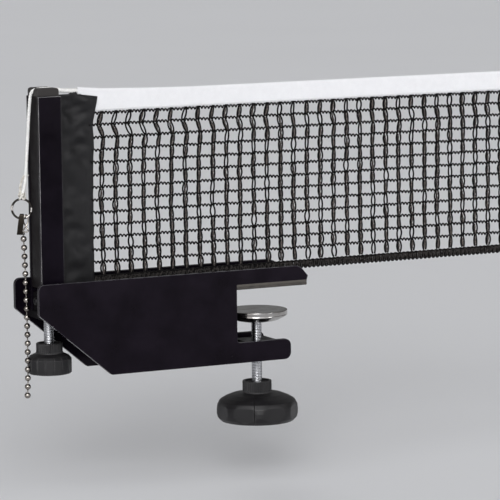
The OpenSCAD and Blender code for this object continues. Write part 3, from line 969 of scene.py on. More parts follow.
@dataclass(frozen=True)
class Palette:
    """The finishes of the whole object, by use."""

    # plate: the second colour is the pale edge colour, wear plus painted highlight
    plate: Finish = Enamel("gloss_black_enamel", (0.0028, 0.0020, 0.0036), (0.13, 0.127, 0.14), 0.13,
                           specular=0.11)
    # post: the bright second colour is the painted highlight line on the channel's front flange edge, with
    # its wear, above the plates only
    post: Finish = Enamel("post_black_enamel", (0.0022, 0.0016, 0.0030), (0.50, 0.49, 0.50), 0.16,
                          specular=0.052, wear=1.0, wear_and_shine_from_z=0.012, wear_and_shine_to_y=0.004)
    foot: Finish = Enamel("foot_dull_black", (0.0022, 0.0020, 0.0024), (0.02, 0.02, 0.02), 0.5,
                          specular=0.05, wear=0.2)
    slider: Finish = Enamel("slider_brown_enamel", (0.0044, 0.0035, 0.0037), (0.05, 0.042, 0.038), 0.35,
                            specular=0.05)
    pad: Finish = Rubber("pad_dark_rubber", (0.070, 0.063, 0.056), (0.040, 0.036, 0.033), 0.8, ply_z=0.0021)
    zinc: Finish = Plated("zinc_plate", (0.40, 0.41, 0.43), (0.24, 0.235, 0.22), 0.34)
    # zinc laid much darker than the bare zinc, for the nut and the keeper screw between the plates
    darkened_nut: Finish = Plated("nut_darkened_zinc", (0.05, 0.05, 0.053), (0.025, 0.024, 0.023), 0.4)
    rod: Finish = Plated("zinc_rod", (0.60, 0.61, 0.63), (0.34, 0.33, 0.31), 0.34, axis_x=-0.1695)
    screw: Finish = Plated("screw_thread_zinc", (0.60, 0.61, 0.64), (0.40, 0.39, 0.38), 0.2,
                           depth=0.000001, stain=0.2, grain=0.1, rim=0.2)
    post_screw: Finish = Plated("post_screw_zinc", (0.60, 0.61, 0.64), (0.40, 0.39, 0.38), 0.2,
                                axis_x=-0.1708, depth=0.000001, stain=0.2, grain=0.1, rim=0.2)
    cap: Finish = Moulded("cap_grey_plastic", (0.026, 0.023, 0.0225), (0.10, 0.10, 0.10), 0.5, wear=0.5,
                          specular=0.25, grain_scale=1300.0, depth=0.00008, dust=0.12)
    knob: Finish = Gripped("knob_black_plastic", (0.0065, 0.0059, 0.0068), (0.09, 0.088, 0.09), 0.42,
                           specular=0.36)
    small_knob: Finish = Gripped("small_knob_black_plastic", (0.0065, 0.0059, 0.0068), (0.09, 0.088, 0.09),
                                 0.42, specular=0.36, axis_x=-0.1708, seam_angle=-0.6109, seam_half=0.018)
    sleeve: Finish = Woven("sleeve_black_cloth", (0.0042, 0.0036, 0.0052), (0.0012, 0.0010, 0.0016), 0.38,
                           threads=1500.0, depth=0.00009, sheen=0.02, specular=0.37)
    tape: Finish = Woven("tape_white_cloth", (0.83, 0.83, 0.85), (0.68, 0.68, 0.70), 0.78,
                         threads=2100.0, depth=0.00006, sheen=0.1)
    net: Finish = Spun("net_black_cord", (0.0045, 0.0038, 0.0038), (0.0012, 0.0010, 0.0010), 0.75,
                       sheen=0.02, specular=0.1)
    # net_core: pale colour of the core strokes, lighter fibre plus painted highlight
    net_core: Finish = Spun("net_core_cord", (0.19, 0.162, 0.150), (0.022, 0.018, 0.016), 0.8, sheen=0.1)
    band_core: Finish = Spun("band_core_cord", (0.040, 0.034, 0.032), (0.004, 0.0035, 0.003), 0.8,
                             sheen=0.05)
    cord: Finish = Spun("lanyard_white_cord", (0.88, 0.88, 0.87), (0.62, 0.61, 0.59), 0.85, hair=3600.0)
    # darker olive mottling spread by noise through the knot
    knot: Finish = Spun("knot_mottled_cord", (0.88, 0.86, 0.82), (0.34, 0.31, 0.25), 0.9, hair=3600.0)
    thread: Finish = Spun("white_sewing_thread", (0.88, 0.88, 0.88), (0.66, 0.66, 0.67), 0.7)
    dark_thread: Finish = Spun("black_sewing_thread", (0.016, 0.016, 0.018), (0.006, 0.006, 0.006), 0.6)
    ring: Finish = RingWithPaintedGlints("ring_nickel", (0.055, 0.050, 0.046), (0.02, 0.018, 0.016), 0.12, axis_x=-0.1905,
                          rim=0.05)
    clip: Finish = Plated("clip_bronze", (0.030, 0.025, 0.020), (0.010, 0.0085, 0.0075), 0.3, axis_x=-0.1905,
                          stain=0.6, rim=0.3)
    link: Finish = Plated("link_nickel", (0.92, 0.87, 0.80), (0.20, 0.17, 0.14), 0.16, axis_x=-0.1905,
                          stain=0.9)
    bead: Finish = Beaded("bead_nickel", (0.40, 0.37, 0.34), (0.06, 0.052, 0.045), 0.09, axis_x=-0.1905,
                          stain=0.5, rim=0.02)
    chrome: Finish = Plated("disc_chrome", (0.50, 0.49, 0.48), (0.24, 0.21, 0.19), 0.14, rings=900.0,
                            stain=0.6)


# ---------------------------------------------------------------- sub-assemblies


@dataclass
class Assembly:
    """A group of pieces that ride on the frame's bodies, and the finishes they are dressed in."""

    finishes: dict[str, bpy.types.Material]

    def place(self, form: Form, name: str, finish: str, body: str, slot: str, node: str = "",
              sharp: float = 60.0, outward: bool = True) -> bpy.types.Object:
        """Makes a piece and hands it to the frame.

        Args:
            form: The piece's points and faces.
            name: Name of the piece.
            finish: The finish's name in the palette.
            body: The body that it moves with.
            slot: Name of a material slot; not used.
            node: The CAD node that it stands for, if it stands for one.
            sharp: Angle in degrees above which an edge shows as an edge.
            outward: True if the faces are turned to look out of a closed form.

        Returns:
            The piece.
        """
        piece = form.make(name, self.finishes[finish], sharp, outward)
        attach(piece, body)
        if node:
            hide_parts(node)
        LOG.info("%s rides on %s, %d faces", piece.name, body, len(piece.data.polygons))
        return piece

    def dress(self, node: str, finish: str, rounding: float, segments: int = 2) -> None:
        """Gives a CAD node its finish and softly rounded edges.

        Args:
            node: The node's name.
            finish: The finish's name in the palette.
            rounding: Radius of its edges in millimetres, 0 for none.
            segments: Number of steps in the rounding.
        """
        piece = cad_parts[node]
        for slot in piece.material_slots:
            slot.link = "OBJECT"
            slot.material = self.finishes[finish]
        if rounding:
            weld = piece.modifiers.new("joined_corners", "WELD")
            weld.merge_threshold = WELD_GAP
            soft = piece.modifiers.new("edge_rounding", "BEVEL")
            soft.width = rounding * MM
            soft.segments = segments
            soft.limit_method = "ANGLE"
            soft.angle_limit = math.radians(ROUNDED_ABOVE)
            soft.harden_normals = True
        LOG.info("%s dressed in %s", node, finish)


@dataclass
class Lanyard(Assembly):
    """The white cord over the cap, its knot, the ring, the strap and the bead chain."""

    cord_d: float = 2.4
    lay_r: float = 0.55
    lay_pitch: float = 6.2
    hang_x: float = -190.5
    knot_z: float = 78.2
    knot_hairs: int = 31
    tail_hairs: int = 99
    hair_r: float = 0.11
    ring_z: float = 69.0
    ring_turn: float = 26.0
    bead_r: float = 2.25
    bead_pitch: float = 6.45
    bead_count: int = 19
    chain_top: float = 46.7
    route: tuple = (
        (-145.1, 153.6), (-149, 153.7), (-153, 153.9), (-157, 154.2), (-160, 154.7), (-163, 155.6),
        (-167, 156.3), (-171, 156.4), (-175, 156.3), (-178, 155.8), (-180.1, 154.7),
        (-181.4, 152.9), (-182.1, 150.2), (-182.6, 146), (-183.2, 140), (-183.8, 133),
        (-184.4, 125), (-185.0, 117), (-185.7, 109), (-186.3, 101), (-186.8, 94), (-187.5, 88),
        (-188.5, 83.5), (-189.9, 80))

    def at_ring(self) -> Matrix:
        """Gives the move from the ring's own place to the frame."""
        return Matrix.Translation((self.hang_x, 0, self.ring_z)) @ Matrix.Rotation(
            -math.radians(self.ring_turn), 4, "Z")

    def build_cord(self, knot: bpy.types.Object) -> None:
        """Args:
            knot: The knot at the cord's far end; not used.
        """
        points = [Vector((x, 0.0, z)) for x, z in self.route]
        form = Form()
        for run in lay_strands(smooth_path(points, 0.45), 3, self.lay_r, self.lay_pitch):
            form.tube(run, [0.70 - 0.22 * ease(p.x, -179.5, -177.5) + 0.72 * ease(p.x, -163.5, -160.0)
                            for p in run], 8)
        piece = self.place(form, "lanyard_cord", "cord", "net_carrier", "white_cord", "tension_cord")

    def build_knot(self) -> bpy.types.Object:
        """Ties the knot above the ring, with its frayed ends.

        Returns:
            The knot's piece.
        """
        centre = Vector((self.hang_x + 0.3, 0.0, self.knot_z))
        steps, wind_r, sway, rise, cord_r = 36, 1.75, 0.7, 2.0, 0.74
        loop = []
        for k in range(steps):
            t = TURN * k / steps
            reach = wind_r + sway * math.cos(3 * t)
            loop.append(centre + Vector((reach * math.cos(2 * t), reach * math.sin(2 * t),
                                         rise * math.sin(3 * t))))
        form = Form()
        form.tube(smooth_path(loop, 0.35, looped=True), cord_r, 8, looped=True)
        form.tube([centre + Vector((0.3, 0, z)) for z in (0.2, 0.8, 1.6, 2.6)], [1.1, 1.2, 1.15, 1.0], 8)
        tail = []
        for ends in (((1.0, 0.2, 1.2), (1.9, 0.3, 3.6), (2.5, 0.3, 7.0), (3.0, 0.2, 10.5), (3.6, 0.1, 14.0),
                      (4.0, 0.1, 16.5)),
                     ((-0.7, 0.2, 1.0), (-1.1, 0.3, 3.4), (-0.9, 0.4, 6.4), (-0.2, 0.4, 9.6),
                      (0.9, 0.3, 12.6), (2.1, 0.2, 15.4))):
            side = smooth_path([centre + Vector(p) for p in ends], 0.5)
            tail += side
            for run in lay_strands(side, 3, 0.5, 5.0):
                form.tube(run, [0.5 - 0.26 * k / len(run) for k in range(len(run))], 6)
        hairs = random.Random(11)
        for k in range(self.knot_hairs + self.tail_hairs):
            angle, lift = hairs.uniform(0, TURN), hairs.uniform(-2.2, 1.8)
            out = Vector((math.cos(angle), math.sin(angle), 0))
            start = centre + out * 1.4 + Vector((0, 0, lift))
            if k >= self.knot_hairs:
                start = hairs.choice(tail) + out * 0.4
            droop = hairs.uniform(-1.4, 0.9)
            tip = start + out * hairs.uniform(0.5, 1.6) + Vector((0, 0, droop))
            middle = start.lerp(tip, 0.55) + Vector((0, 0, 0.35))
            form.tube(smooth_path([start, middle, tip], 0.4), self.hair_r, 4)
        return self.place(form, "lanyard_knot", "knot", "net_carrier", "white_cord", "cord_knot")

    def build_strap(self) -> None:
        """Folds the strap over the ring, with the foot that holds the chain."""
        form = Form()
        low, high, thick = -4.3, -0.3, 0.6
        wall, top, foot = 1.4, -3.94, -18.7
        outline = rounded_outline([(-wall, foot, 0.5), (wall, foot, 0.5), (wall + 0.05, top - 7, 0),
                                   (wall, top, 1.1), (-wall, top, 1.1), (-wall - 0.05, top - 7, 0)], 6)
        form.band([Vector((0.0, p.x, p.y)) for p in outline], low, high, thick, 0.14)
        rings = []
        for z, shrink in ((-19.0, 0.12), (-18.9, 0.0), (-18.5, 0.0), (-18.4, 0.12)):
            edge = rounded_outline([(-2.3, -1.7 + shrink, 0), (1.6 - shrink, -1.7 + shrink, 1.2),
                                    (1.6 - shrink, 1.7 - shrink, 1.2), (-2.3, 1.7 - shrink, 0)], 6)
            rings.append([Vector((p.x, p.y, z)) for p in edge])
        form.skin(rings)
        hang = -2.0
        centre = (low + high) / 2
        for i, p in enumerate(form.points):
            narrow = 1 - 0.3 * ease(p.z, top - 1.8, top)
            lean = 1.45 + 0.13 * (p.z - (foot + hang) / 2)
            form.points[i] = Vector((centre + (p.x - centre) * narrow + lean, p.y, p.z))
        form.move(self.at_ring())
        self.place(form, "chain_strap", "clip", "chain", "clip_bronze", "chain_clip", 35.0)

    def chain_x(self, z: float) -> float:
        """Gives where the hanging chain's slightly bowed middle lies at a height.

        Args:
            z: The height.

        Returns:
            The place in X.
        """
        return self.hang_x + along([(-71.6, 1.5), (-60.0, 2.1), (-30.0, 2.5), (0.0, 2.3), (25.0, 1.7),
                                    (46.7, 1.0), (51.0, 0.8)], z)

    def build_beads(self) -> None:
        """Strings the hollow beads on their bars."""
        form = Form()
        r, hole, lip, opening, steps = self.bead_r, 0.62, 0.80, 68, 12
        shell = [Vector((hole, -r * 0.90)), Vector((lip, -r * 0.945))]
        for k in range(steps + 1):
            angle = math.radians(-opening + 2 * opening * k / steps)
            shell.append(Vector((r * math.cos(angle), r * math.sin(angle))))
        shell += [Vector((lip, r * 0.945)), Vector((hole, r * 0.90))]
        for i in range(self.bead_count):
            z = self.chain_top - self.bead_pitch * i
            form.lathe([Vector((p.x, p.y + z)) for p in shell], 26, self.chain_x(z), looped=False)
            if i < self.bead_count - 1:
                levels = [z - r * 0.8 - (self.bead_pitch - r * 1.6) * t for t in (0, 0.25, 0.5, 0.75, 1)]
                bar = [Vector((self.chain_x(level), 0, level)) for level in levels]
                form.tube(bar, [0.58, 0.48, 0.45, 0.48, 0.58], 10)
        foot = self.ring_z - 19.0
        levels = [self.chain_top + r * 0.8, foot - 0.2, foot + 0.7]
        form.tube([Vector((self.chain_x(z), 0, z)) for z in levels], [0.5, 0.5, 0.55], 12)
        stop = rounded_outline([(0.3, foot + 0.7, 0), (1.0, foot + 0.7, 0.2), (1.0, foot + 1.7, 0.4),
                                (0.3, foot + 1.7, 0)], 4)
        form.lathe(stop, 16, self.chain_x(foot))
        self.place(form, "ball_chain", "bead", "chain", "bead_nickel", "bead_chain", 50.0)

    def build_link(self) -> None:
        """Bends the long wire link beside the strap, twisted between its two ends."""
        top, bottom, half, wire_r, steps = -4.6, -17.2, 1.45, 0.55, 48
        loop = []
        for k in range(steps):
            t = TURN * k / steps
            z = (top + bottom) / 2 + (top - bottom) / 2 * math.cos(t)
            low = (top - z) / (top - bottom)
            width = half * (1 + 0.55 * low) * min(1.0, 2.2 * abs(math.sin(t)))
            width *= math.copysign(1.0, math.sin(t))
            twist = math.radians(20) + math.radians(235) * low
            loop.append(Vector((2.9 - 0.5 * low + width * math.sin(twist), width * math.cos(twist), z)))
        form = Form()
        form.tube(smooth_path(loop, 0.35, looped=True), wire_r, 10, looped=True)
        form.move(self.at_ring())
        self.place(form, "twisted_link", "link", "chain", "chain_nickel", "chain_link")

    def build(self) -> None:
        """Builds the cord, knot, strap, link and chain, and dresses the ring."""
        knot = self.build_knot()
        self.build_cord(knot)
        self.build_strap()
        self.build_link()
        self.build_beads()
        self.dress("cord_ring", "ring", 0)


@dataclass
class Bracket(Assembly):
    """The side plates, the plates between them, the pad, the nut and the foot."""

    pad_low_x: float = -28.0
    pad_high_x: float = 31.6
    pad_y: float = 24.25
    pad_t: float = 4.0
    ply: float = 2.1

    def build_pad(self) -> None:
        """Builds the rubber pad of two plies, each with soft edges and a fine groove between."""
        form = Form()
        x0, x1, y1 = self.pad_low_x, self.pad_high_x, self.pad_y
        levels = ((0.0, 0.35), (0.1, 0.12), (0.35, 0.0), (self.ply - 0.35, 0.0), (self.ply - 0.12, 0.08),
                  (self.ply, 0.3), (self.ply + 0.12, 0.08), (self.ply + 0.35, 0.0), (self.pad_t - 0.3, 0.0),
                  (self.pad_t - 0.05, 0.15), (self.pad_t, 0.35))
        rings = []
        for z, shrink in levels:
            ring = []
            edge = rounded_outline([(x0 + 0.02, -y1 + shrink, 0.6), (x1 - shrink, -y1 + shrink, 1.6),
                                    (x1 - shrink, y1 - shrink, 1.6), (x0 + 0.02, y1 - shrink, 0.6)], 4)
            for a, b in zip(edge, edge[1:] + edge[:1]):
                steps = max(1, round((b - a).length / 2.5))
                ring.extend(a.lerp(b, s / steps) for s in range(steps))
            rings.append([Vector((p.x, p.y, z)) for p in ring])
        form.skin(rings)
        for i, p in enumerate(form.points):
            if 0.05 < p.z < self.pad_t - 0.1 and p.x > x0 + 1:
                swell = noise.noise(p * 0.11) * 0.10 - 0.10
                x, y = p.x - (x0 + x1) / 2, p.y
                out = Vector((math.copysign(1, x), 0, 0))
                if abs(y) >= y1 - 2:
                    out = Vector((0, math.copysign(1, y), 0))
                form.points[i] = p + out * swell
        piece = self.place(form, "pad_strip", "pad", "bracket", "pad_rubber", "jaw_pad", 35.0)

    def build_keeper(self) -> None:
        """Builds the keeper screw: a pan head with a cross recess, and its shank."""
        form = Form()
        head_x, head_r, height = -182.3, 2.8, 2.8
        dome_rise, rim_drop, recess, lean_x, lean_y = 0.55, 0.35, 1.1, 0.82, 0.57
        sides, steps, rings = 48, 14, []
        for step in range(steps + 1):
            r = head_r * step / steps
            ring = []
            for k in range(sides):
                angle = TURN * k / sides
                y, z = r * math.cos(angle), r * math.sin(angle)
                dome = dome_rise * (r / head_r) ** 2 + rim_drop * ease(r, head_r - 0.5, head_r)
                arm = min(abs(y * lean_x + z * lean_y), abs(z * lean_x - y * lean_y))
                cross = (1 - ease(arm, 0.30, 0.46)) * (1 - ease(r, 1.25, 1.6))
                ring.append(Vector((head_x + 0.02 + dome + recess * cross, y, z)))
            rings.append(ring)
        back = [[Vector((head_x + height, p.y, p.z)) for p in rings[-1]]]
        start = [[Vector((rings[0][0].x, p.y * 0.05, p.z * 0.05)) for p in rings[1]]]
        form.skin(start + rings[1:] + back)
        shank = [Vector((x, 0, 0)) for x in (head_x + height - 0.1, -176.5, -173.95)]
        form.tube(shank, [1.5, 1.5, 1.35], 20)
        self.place(form, "keeper_pan_screw", "darkened_nut", "bracket", "zinc_steel", "keeper_screw", 30.0)

    def build(self) -> None:
        """Builds the pad and the screw, and dresses the plates, nut and foot."""
        for row in (("front_side_plate", "plate", 0.6, 3), ("rear_side_plate", "plate", 0.6, 3),
                    ("upper_jaw_plate", "plate", 0.3), ("throat_plate", "plate", 0.3),
                    ("lower_jaw_plate", "plate", 0.3), ("clamp_nut", "darkened_nut", 0.35),
                    ("post_foot", "foot", 0.3)):
            self.dress(*row)
        self.build_pad()
        self.build_keeper()


@dataclass
class Post(Assembly):
    """The post's channel, the slider in it, the cap and the rod."""

    def build(self) -> None:
        """Dresses the post's pieces."""
        for row in (("post_channel", "post", 0.55, 3), ("slider_bar", "slider", 0.45, 3),
                    ("slider_nut", "zinc", 0.3), ("post_cap", "cap", 0.45, 3), ("net_rod", "rod", 0.2)):
            self.dress(*row)


@dataclass
class Netting(Assembly):
    """The net's end: sleeve, strands, lower band and top tape."""

    left: float = -133.0
    right: float = 258.0
    bottom: float = 9.0
    first_row: float = 16.3
    tape_bottom: float = 137.9
    top: float = 152.7
    row_gap: float = 9.28
    rows: int = 13
    wale_gap: float = 11.4
    first_wale: float = -126.2
    strand_r: float = 0.68
    row_r: float = 0.60
    core_share: float = 0.76
    band_pitch: float = 3.6
    tape_left: float = -145.0
    tape_shoulder: float = -129.0
    tape_lift: float = 3.6
    sleeve_top: float = 151.2
    sleeve_t: float = 0.55
    rod_x: float = -169.5
    rod_low: float = 38.0
    rod_high: float = 136.0
    rod_wrap_r: float = 2.95
    tape_half: float = 1.22
    tape_t: float = 0.42
    tape_stitch_r: float = 0.16
    sleeve_stitch_r: float = 0.15

    def row_z(self, row: int) -> float:
        """Gives the height of a row of knots, row 0 on the band."""
        return self.first_row + self.row_gap * row

    def sleeve_edge(self, z: float) -> float:
        """Gives the sleeve's right edge at a height.

        Args:
            z: The height.

        Returns:
            The edge in X.
        """
        return along([(9, -133.8), (28, -133.7), (57, -133.6), (90, -133.3), (110, -132.3), (120, -132.6),
                      (132.1, -132.9), (135.7, -132.0), (137.9, -131.6), (140.1, -131.3),
                      (144.4, -130.3), (151.2, -129.3)], z)

    def drift(self, x: float, z: float) -> float:
        """Gives how far a wale leaves its upright line, pulled by the tape near the net's end.

        Args:
            x: The wale's own place.
            z: The height.

        Returns:
            How far it leaves that place.
        """
        pull = along([(16.0, 0.0), (50.0, -0.5), (71.7, -0.8), (81.0, -0.5), (90.2, -0.2), (99.5, -0.2),
                      (108.8, 0.4), (118.1, 2.1), (127.4, -1.9), (136.6, 0.7), (140.0, 1.4)], z)
        return pull * (1 - 0.65 * ease(x, self.first_wale, self.first_wale + 170))

    def sleeve_rim(self, x: float) -> float:
        """Gives the height of the sleeve's top edge at a place along it.

        Args:
            x: The place along the net.

        Returns:
            The height there.
        """
        return along([(-160, self.sleeve_top), (-151.2, self.sleeve_top), (-150.2, self.sleeve_top + 1.7),
                      (-146.6, self.sleeve_top + 1.9), (-145.6, self.sleeve_top - 0.2),
                      (-129, self.sleeve_top - 2.5)], x)

    def build_strands(self) -> None:
        """Knits the net: bowed pairs with cores down each wale and one zigzag strand along each row."""
        knit = random.Random(5)
        form, cores = Form(), Form()
        for wale in range(int((self.right - 2 - self.first_wale) / self.wale_gap) + 1):
            x = self.first_wale + self.wale_gap * wale
            pair: list[list[Vector]] = [[], []]
            shift = [knit.uniform(-0.4, 0.4) for _ in range(self.rows + 2)]
            for row in range(self.rows + 1):
                z0 = self.row_z(row)
                z1 = self.row_z(row + 1) if row < self.rows else self.tape_bottom + 1.5
                swell = knit.choice((0.55, 0.75, 0.85, 1.0, 1.3)) if row < self.rows else 0.0
                lean, flip, core = knit.uniform(-0.3, 0.3), 1 if row % 2 else -1, []
                steps = 8 if row < self.rows else 3
                for k in range(steps if row < self.rows else steps + 1):
                    t = k / steps
                    z = z0 + (z1 - z0) * t
                    bow = math.sin(math.pi * t) ** 0.9 if t > 0 else 0.0
                    base = x + shift[row] * (1 - t) + shift[row + 1] * t + lean * math.sin(math.pi * t)
                    base += self.drift(x, z)
                    depth = 0.3 * math.cos(math.pi * t)
                    for side, run in ((1, pair[0]), (-1, pair[1])):
                        run.append(Vector((base + side * (0.62 + swell * bow), side * depth * flip, z)))
                    core.append(Vector((base + 0.2 * math.sin(3 * t + wale), 0.25, z)))
                if row < self.rows and knit.random() < self.core_share:
                    wide = [0.34 + 0.36 * math.sin(math.pi * k / 7) for k in range(8)]
                    form.tube([p + Vector((0, 0.35, 0)) for p in core], wide, 6)
                    # pale strokes on the front of the cores: the cores' lighter fibre, brightened as a
                    # painted highlight
                    turned = knit.uniform(0, TURN)
                    for side in (-1, 1):
                        stroke = [p + Vector((side * 0.45 * math.sin(math.pi * k / 7 * 2 + turned), -0.62, 0))
                                  for k, p in enumerate(core)]
                        cores.tube(stroke, [0.15 + 0.11 * math.sin(math.pi * k / 7) for k in range(8)], 5)
            for run in pair:
                form.tube(run, self.strand_r, 6)
        for row in range(1, self.rows + 1):
            z0, path = self.row_z(row) - (0.6 if row == self.rows else 0.0), []
            count = round((self.right - self.left + 1.5) / 0.39)
            start = knit.uniform(0, TURN)
            for k in range(count + 1):
                x = self.left - 2.5 + (self.right - self.left + 1.7) * k / count
                phase = start + TURN * x / (self.wale_gap / 4)
                sag = 0.2 * math.sin(TURN * (x - self.first_wale) / self.wale_gap)
                wander = 0.25 * waver(x * 0.05, row * 3.1, 0.0)
                path.append(Vector((x, 0.34 * math.cos(phase), z0 + 0.85 * math.sin(phase) + sag + wander)))
            form.tube(path, self.row_r, 6)
        self.place(form, "net_strands", "net", "net_carrier", "net_cord", "net_mesh")
        self.place(cores, "net_cores", "net_core", "net_carrier", "net_cord")

    def build_band(self) -> None:
        """Knits the dense band along the net's lower edge."""
        knit = random.Random(9)
        form, loops = Form(), Form()
        radius, back_r, top_r, filler_r = 0.78, 0.66, 0.82, 0.36
        count = int((self.right - self.left) / self.band_pitch)
        pitch = (self.right - self.left) / count
        for i in range(count):
            x = self.left + pitch * (i + 0.5)
            lean, low = 0.75 + knit.uniform(-0.15, 0.15), self.bottom + radius + knit.uniform(0, 0.15)
            arc = pitch / 4 + 0.06
            path = [Vector((x - arc + lean, 0.25, 15.0)), Vector((x - arc + lean * 0.5, -0.3, 13.0))]
            for k in range(7):
                angle = math.pi + math.pi * k / 6
                path.append(Vector((x + arc * math.cos(angle), -0.32 + 0.05 * k,
                                    low + arc + arc * math.sin(angle))))
            path += [Vector((x + arc + lean * 0.5, 0.0, 13.0)), Vector((x + arc + lean, 0.3, 15.0))]
            path = [Vector((min(p.x, self.right - radius - 0.05), p.y, p.z)) for p in path]
            form.tube(path, radius, 6)
            back = [Vector((x + lean + s * 0.2 - pitch / 2 + s, 0.45, z))
                    for s, z in ((0, 15.2), (-0.3, 12.4), (-0.5, 10.2))]
            loops.tube(back, back_r, 6)
        path, steps = [], round((self.right - self.left) / 0.6)
        for k in range(steps + 1):
            x = self.left + (self.right - 0.4 - self.left) * k / steps
            phase = TURN * (x - self.left) / pitch
            path.append(Vector((x, 0.22 * math.cos(phase), 15.1 + 0.28 * math.sin(phase))))
        form.tube(path, top_r, 6)
        for _ in range(3):
            points, x = [], self.left + 0.2
            while x < self.right - 0.5:
                points.append(Vector((x, -0.35 - knit.uniform(0, 0.35), knit.uniform(10.0, 15.4))))
                x += knit.uniform(0.5, 1.5)
            loops.tube(smooth_path(points, 0.5), filler_r, 5)
        self.place(loops, "band_loops", "band_core", "net_carrier", "net_cord")
        self.place(form, "knitted_band", "net", "net_carrier", "net_cord", "net_band")

    def tape_line(self, x: float) -> float:
        """Gives the height of the tape's fold at a place along it.

        Args:
            x: The place along the net.

        Returns:
            The height there.
        """
        return self.top + self.tape_lift * along(
            [(self.tape_left, 1.0), (self.tape_left + 19, 0.55), (self.tape_left + 55, 0.2),
             (self.tape_left + 95, 0.0)], x)

    def build_tape(self) -> None:
        """Folds the tape over the net's edge, and sews it."""
        form = Form()
        half, columns = self.tape_half, []
        x = self.tape_left
        while x < self.right:
            columns.append(x)
            x += 0.75 if x < self.tape_shoulder + 3 else 2.5
        columns.append(self.right)
        rings = []
        for x in columns:
            high = self.tape_line(x) - 0.18
            tucked = self.sleeve_rim(max(x, -145.4)) + 0.4 - 3.0 * ease(x, -142.0, -140.5)
            low = self.tape_bottom + (tucked - self.tape_bottom) * (
                1 - ease(x, self.tape_shoulder - 6.0, self.tape_shoulder - 5.0))
            wave = waver(x * 0.035, 3.0, 0.0)
            section = []
            for side in (-1, 1):
                part = []
                for k in range(9):
                    share = k / 8
                    z = low + (high - half - low) * share
                    push = 0.10 * waver(x * 0.05, z * 0.12, side * 4.0)
                    part.append(Vector((x, side * (half - 0.10 * (1 - share)) + push * (1 - share) * 0.6,
                                        z + 0.12 * wave * (1 - share))))
                section += part if side < 0 else list(reversed(part))
                if side < 0:
                    for k in range(1, 8):
                        angle = math.pi - math.pi * k / 8
                        section.append(Vector((x, half * math.cos(angle),
                                               high - half + half * math.sin(angle))))
            rings.append(section)
        form.skin(rings, capped=False, round_ring=False)
        piece = self.place(form, "folded_tape", "tape", "net_carrier", "white_tape", "net_tape", 50.0,
                           outward=False)
        self.thicken(piece, self.tape_t)
        stitches, proud, tuck, pitch = Form(), 0.13, 0.22, 3.0
        seam_z, end_z = self.tape_bottom + 1.7, self.tape_bottom + 1.72
        for side in (-1, 1):
            x = self.tape_shoulder + 2.0
            while x < self.right - 3:
                y = side * (half + proud)
                path = [Vector((x, y - side * tuck, seam_z)), Vector((x + 0.4, y, seam_z)),
                        Vector((x + 2.0, y, end_z)), Vector((x + 2.4, y - side * tuck, end_z))]
                stitches.tube(path, self.tape_stitch_r, 5)
                x += pitch
        sewn = self.place(stitches, "tape_stitches", "thread", "net_carrier", "white_tape")

    def thicken(self, piece: bpy.types.Object, thickness: float) -> None:
        """Gives a sheet its thickness.

        Args:
            piece: The sheet.
            thickness: Its thickness in millimetres.
        """
        solid = piece.modifiers.new("cloth_thickness", "SOLIDIFY")
        solid.thickness = thickness * MM
        solid.offset = 0.0

    def crease(self, x: float, z: float) -> float:
        """Gives how far the sleeve's cloth is pushed out of its plane by its folds.

        Args:
            x: The place along the cloth.
            z: The height.

        Returns:
            How far it is pushed along Y.
        """
        slant = z * 0.20 + x * 0.14
        folds = math.sin(slant + 1.3 * waver(x * 0.05, z * 0.03, 1.7)) * 1.25
        folds += 1.5 * waver(x * 0.07, z * 0.045, 8.1)
        folds += 0.35 * waver(x * 0.17, z * 0.10, 3.3)
        pull = ease(waver(x * 0.06, z * 0.05, 12.0), -0.35, 0.35)
        folds += 0.85 * pull * math.sin(z * 0.50 - x * 0.10 + 2.2 * waver(x * 0.08, z * 0.03, 6.0))
        ripple = 0.5 * math.sin(z * 0.62 - x * 0.22) * ease(z, 122, 134) * (1 - ease(z, 138, 147))
        return (folds + ripple) * (0.95 + 0.6 * ease(z, 90, 140)) * (1 - 0.7 * ease(z, 147, 151))

    def build_sleeve(self) -> None:
        """Folds the cloth round the rod and out through the post's slit, and sews it."""
        form = Form()
        gap, panel_x, low_x = 0.40, -166.2, -165.35
        low, high = self.rod_low, self.rod_high
        levels = [self.bottom + (low - self.bottom) * k / 12 for k in range(12)]
        levels += [low + (high - low) * k / 44 for k in range(45)]
        levels += [high + (self.sleeve_top - high) * k / 8 for k in range(1, 9)]
        across, loops, slit = 30, 14, 9
        grid: list[list[Vector]] = []
        for z in levels:
            edge = self.sleeve_edge(z) + 0.35 * waver(2.0, z * 0.11, 5.0)
            start = panel_x if z >= low else low_x
            front, rear = [], []
            for k in range(across + 1):
                x = edge + (start - edge) * k / across
                push = self.crease(x, z) * ease(x, -161.0, -153.0)
                push *= 1 - 0.85 * ease(x, edge - 10, edge - 1.5)
                wrap = 1.3 * ease(z, 128.0, 134.5) * ease(x, -149.0, -141.5)
                pad = gap - 0.1 * ease(x, edge - 3, edge) + wrap
                rise = self.sleeve_rim(x) - self.sleeve_top
                lifted = z + rise * ease(z, self.sleeve_top - 8.0, self.sleeve_top)
                front.append(Vector((x, push - pad, lifted)))
                rear.append(Vector((x, push + pad, lifted)))
            loop = []
            for k in range(1, loops):
                if low <= z <= high:
                    angle = math.radians(slit + (360 - 2 * slit) * k / loops)
                    loop.append(Vector((self.rod_x + self.rod_wrap_r * math.cos(angle),
                                        -self.rod_wrap_r * math.sin(angle), z)))
                else:
                    angle = math.pi * k / loops
                    loop.append(Vector((start - gap * 0.6 * math.sin(angle), -gap * math.cos(angle), z)))
            grid.append(front + loop + list(reversed(rear)))
        form.skin(grid, capped=False, round_ring=False)
        piece = self.place(form, "sleeve_fold", "sleeve", "net_carrier", "sleeve_cloth", "net_sleeve",
                           outward=False)
        self.thicken(piece, self.sleeve_t)
        seam, inset, tuck, pitch = Form(), 2.2, 0.2, 2.8
        for side in (-1, 1):
            z = self.bottom + 2
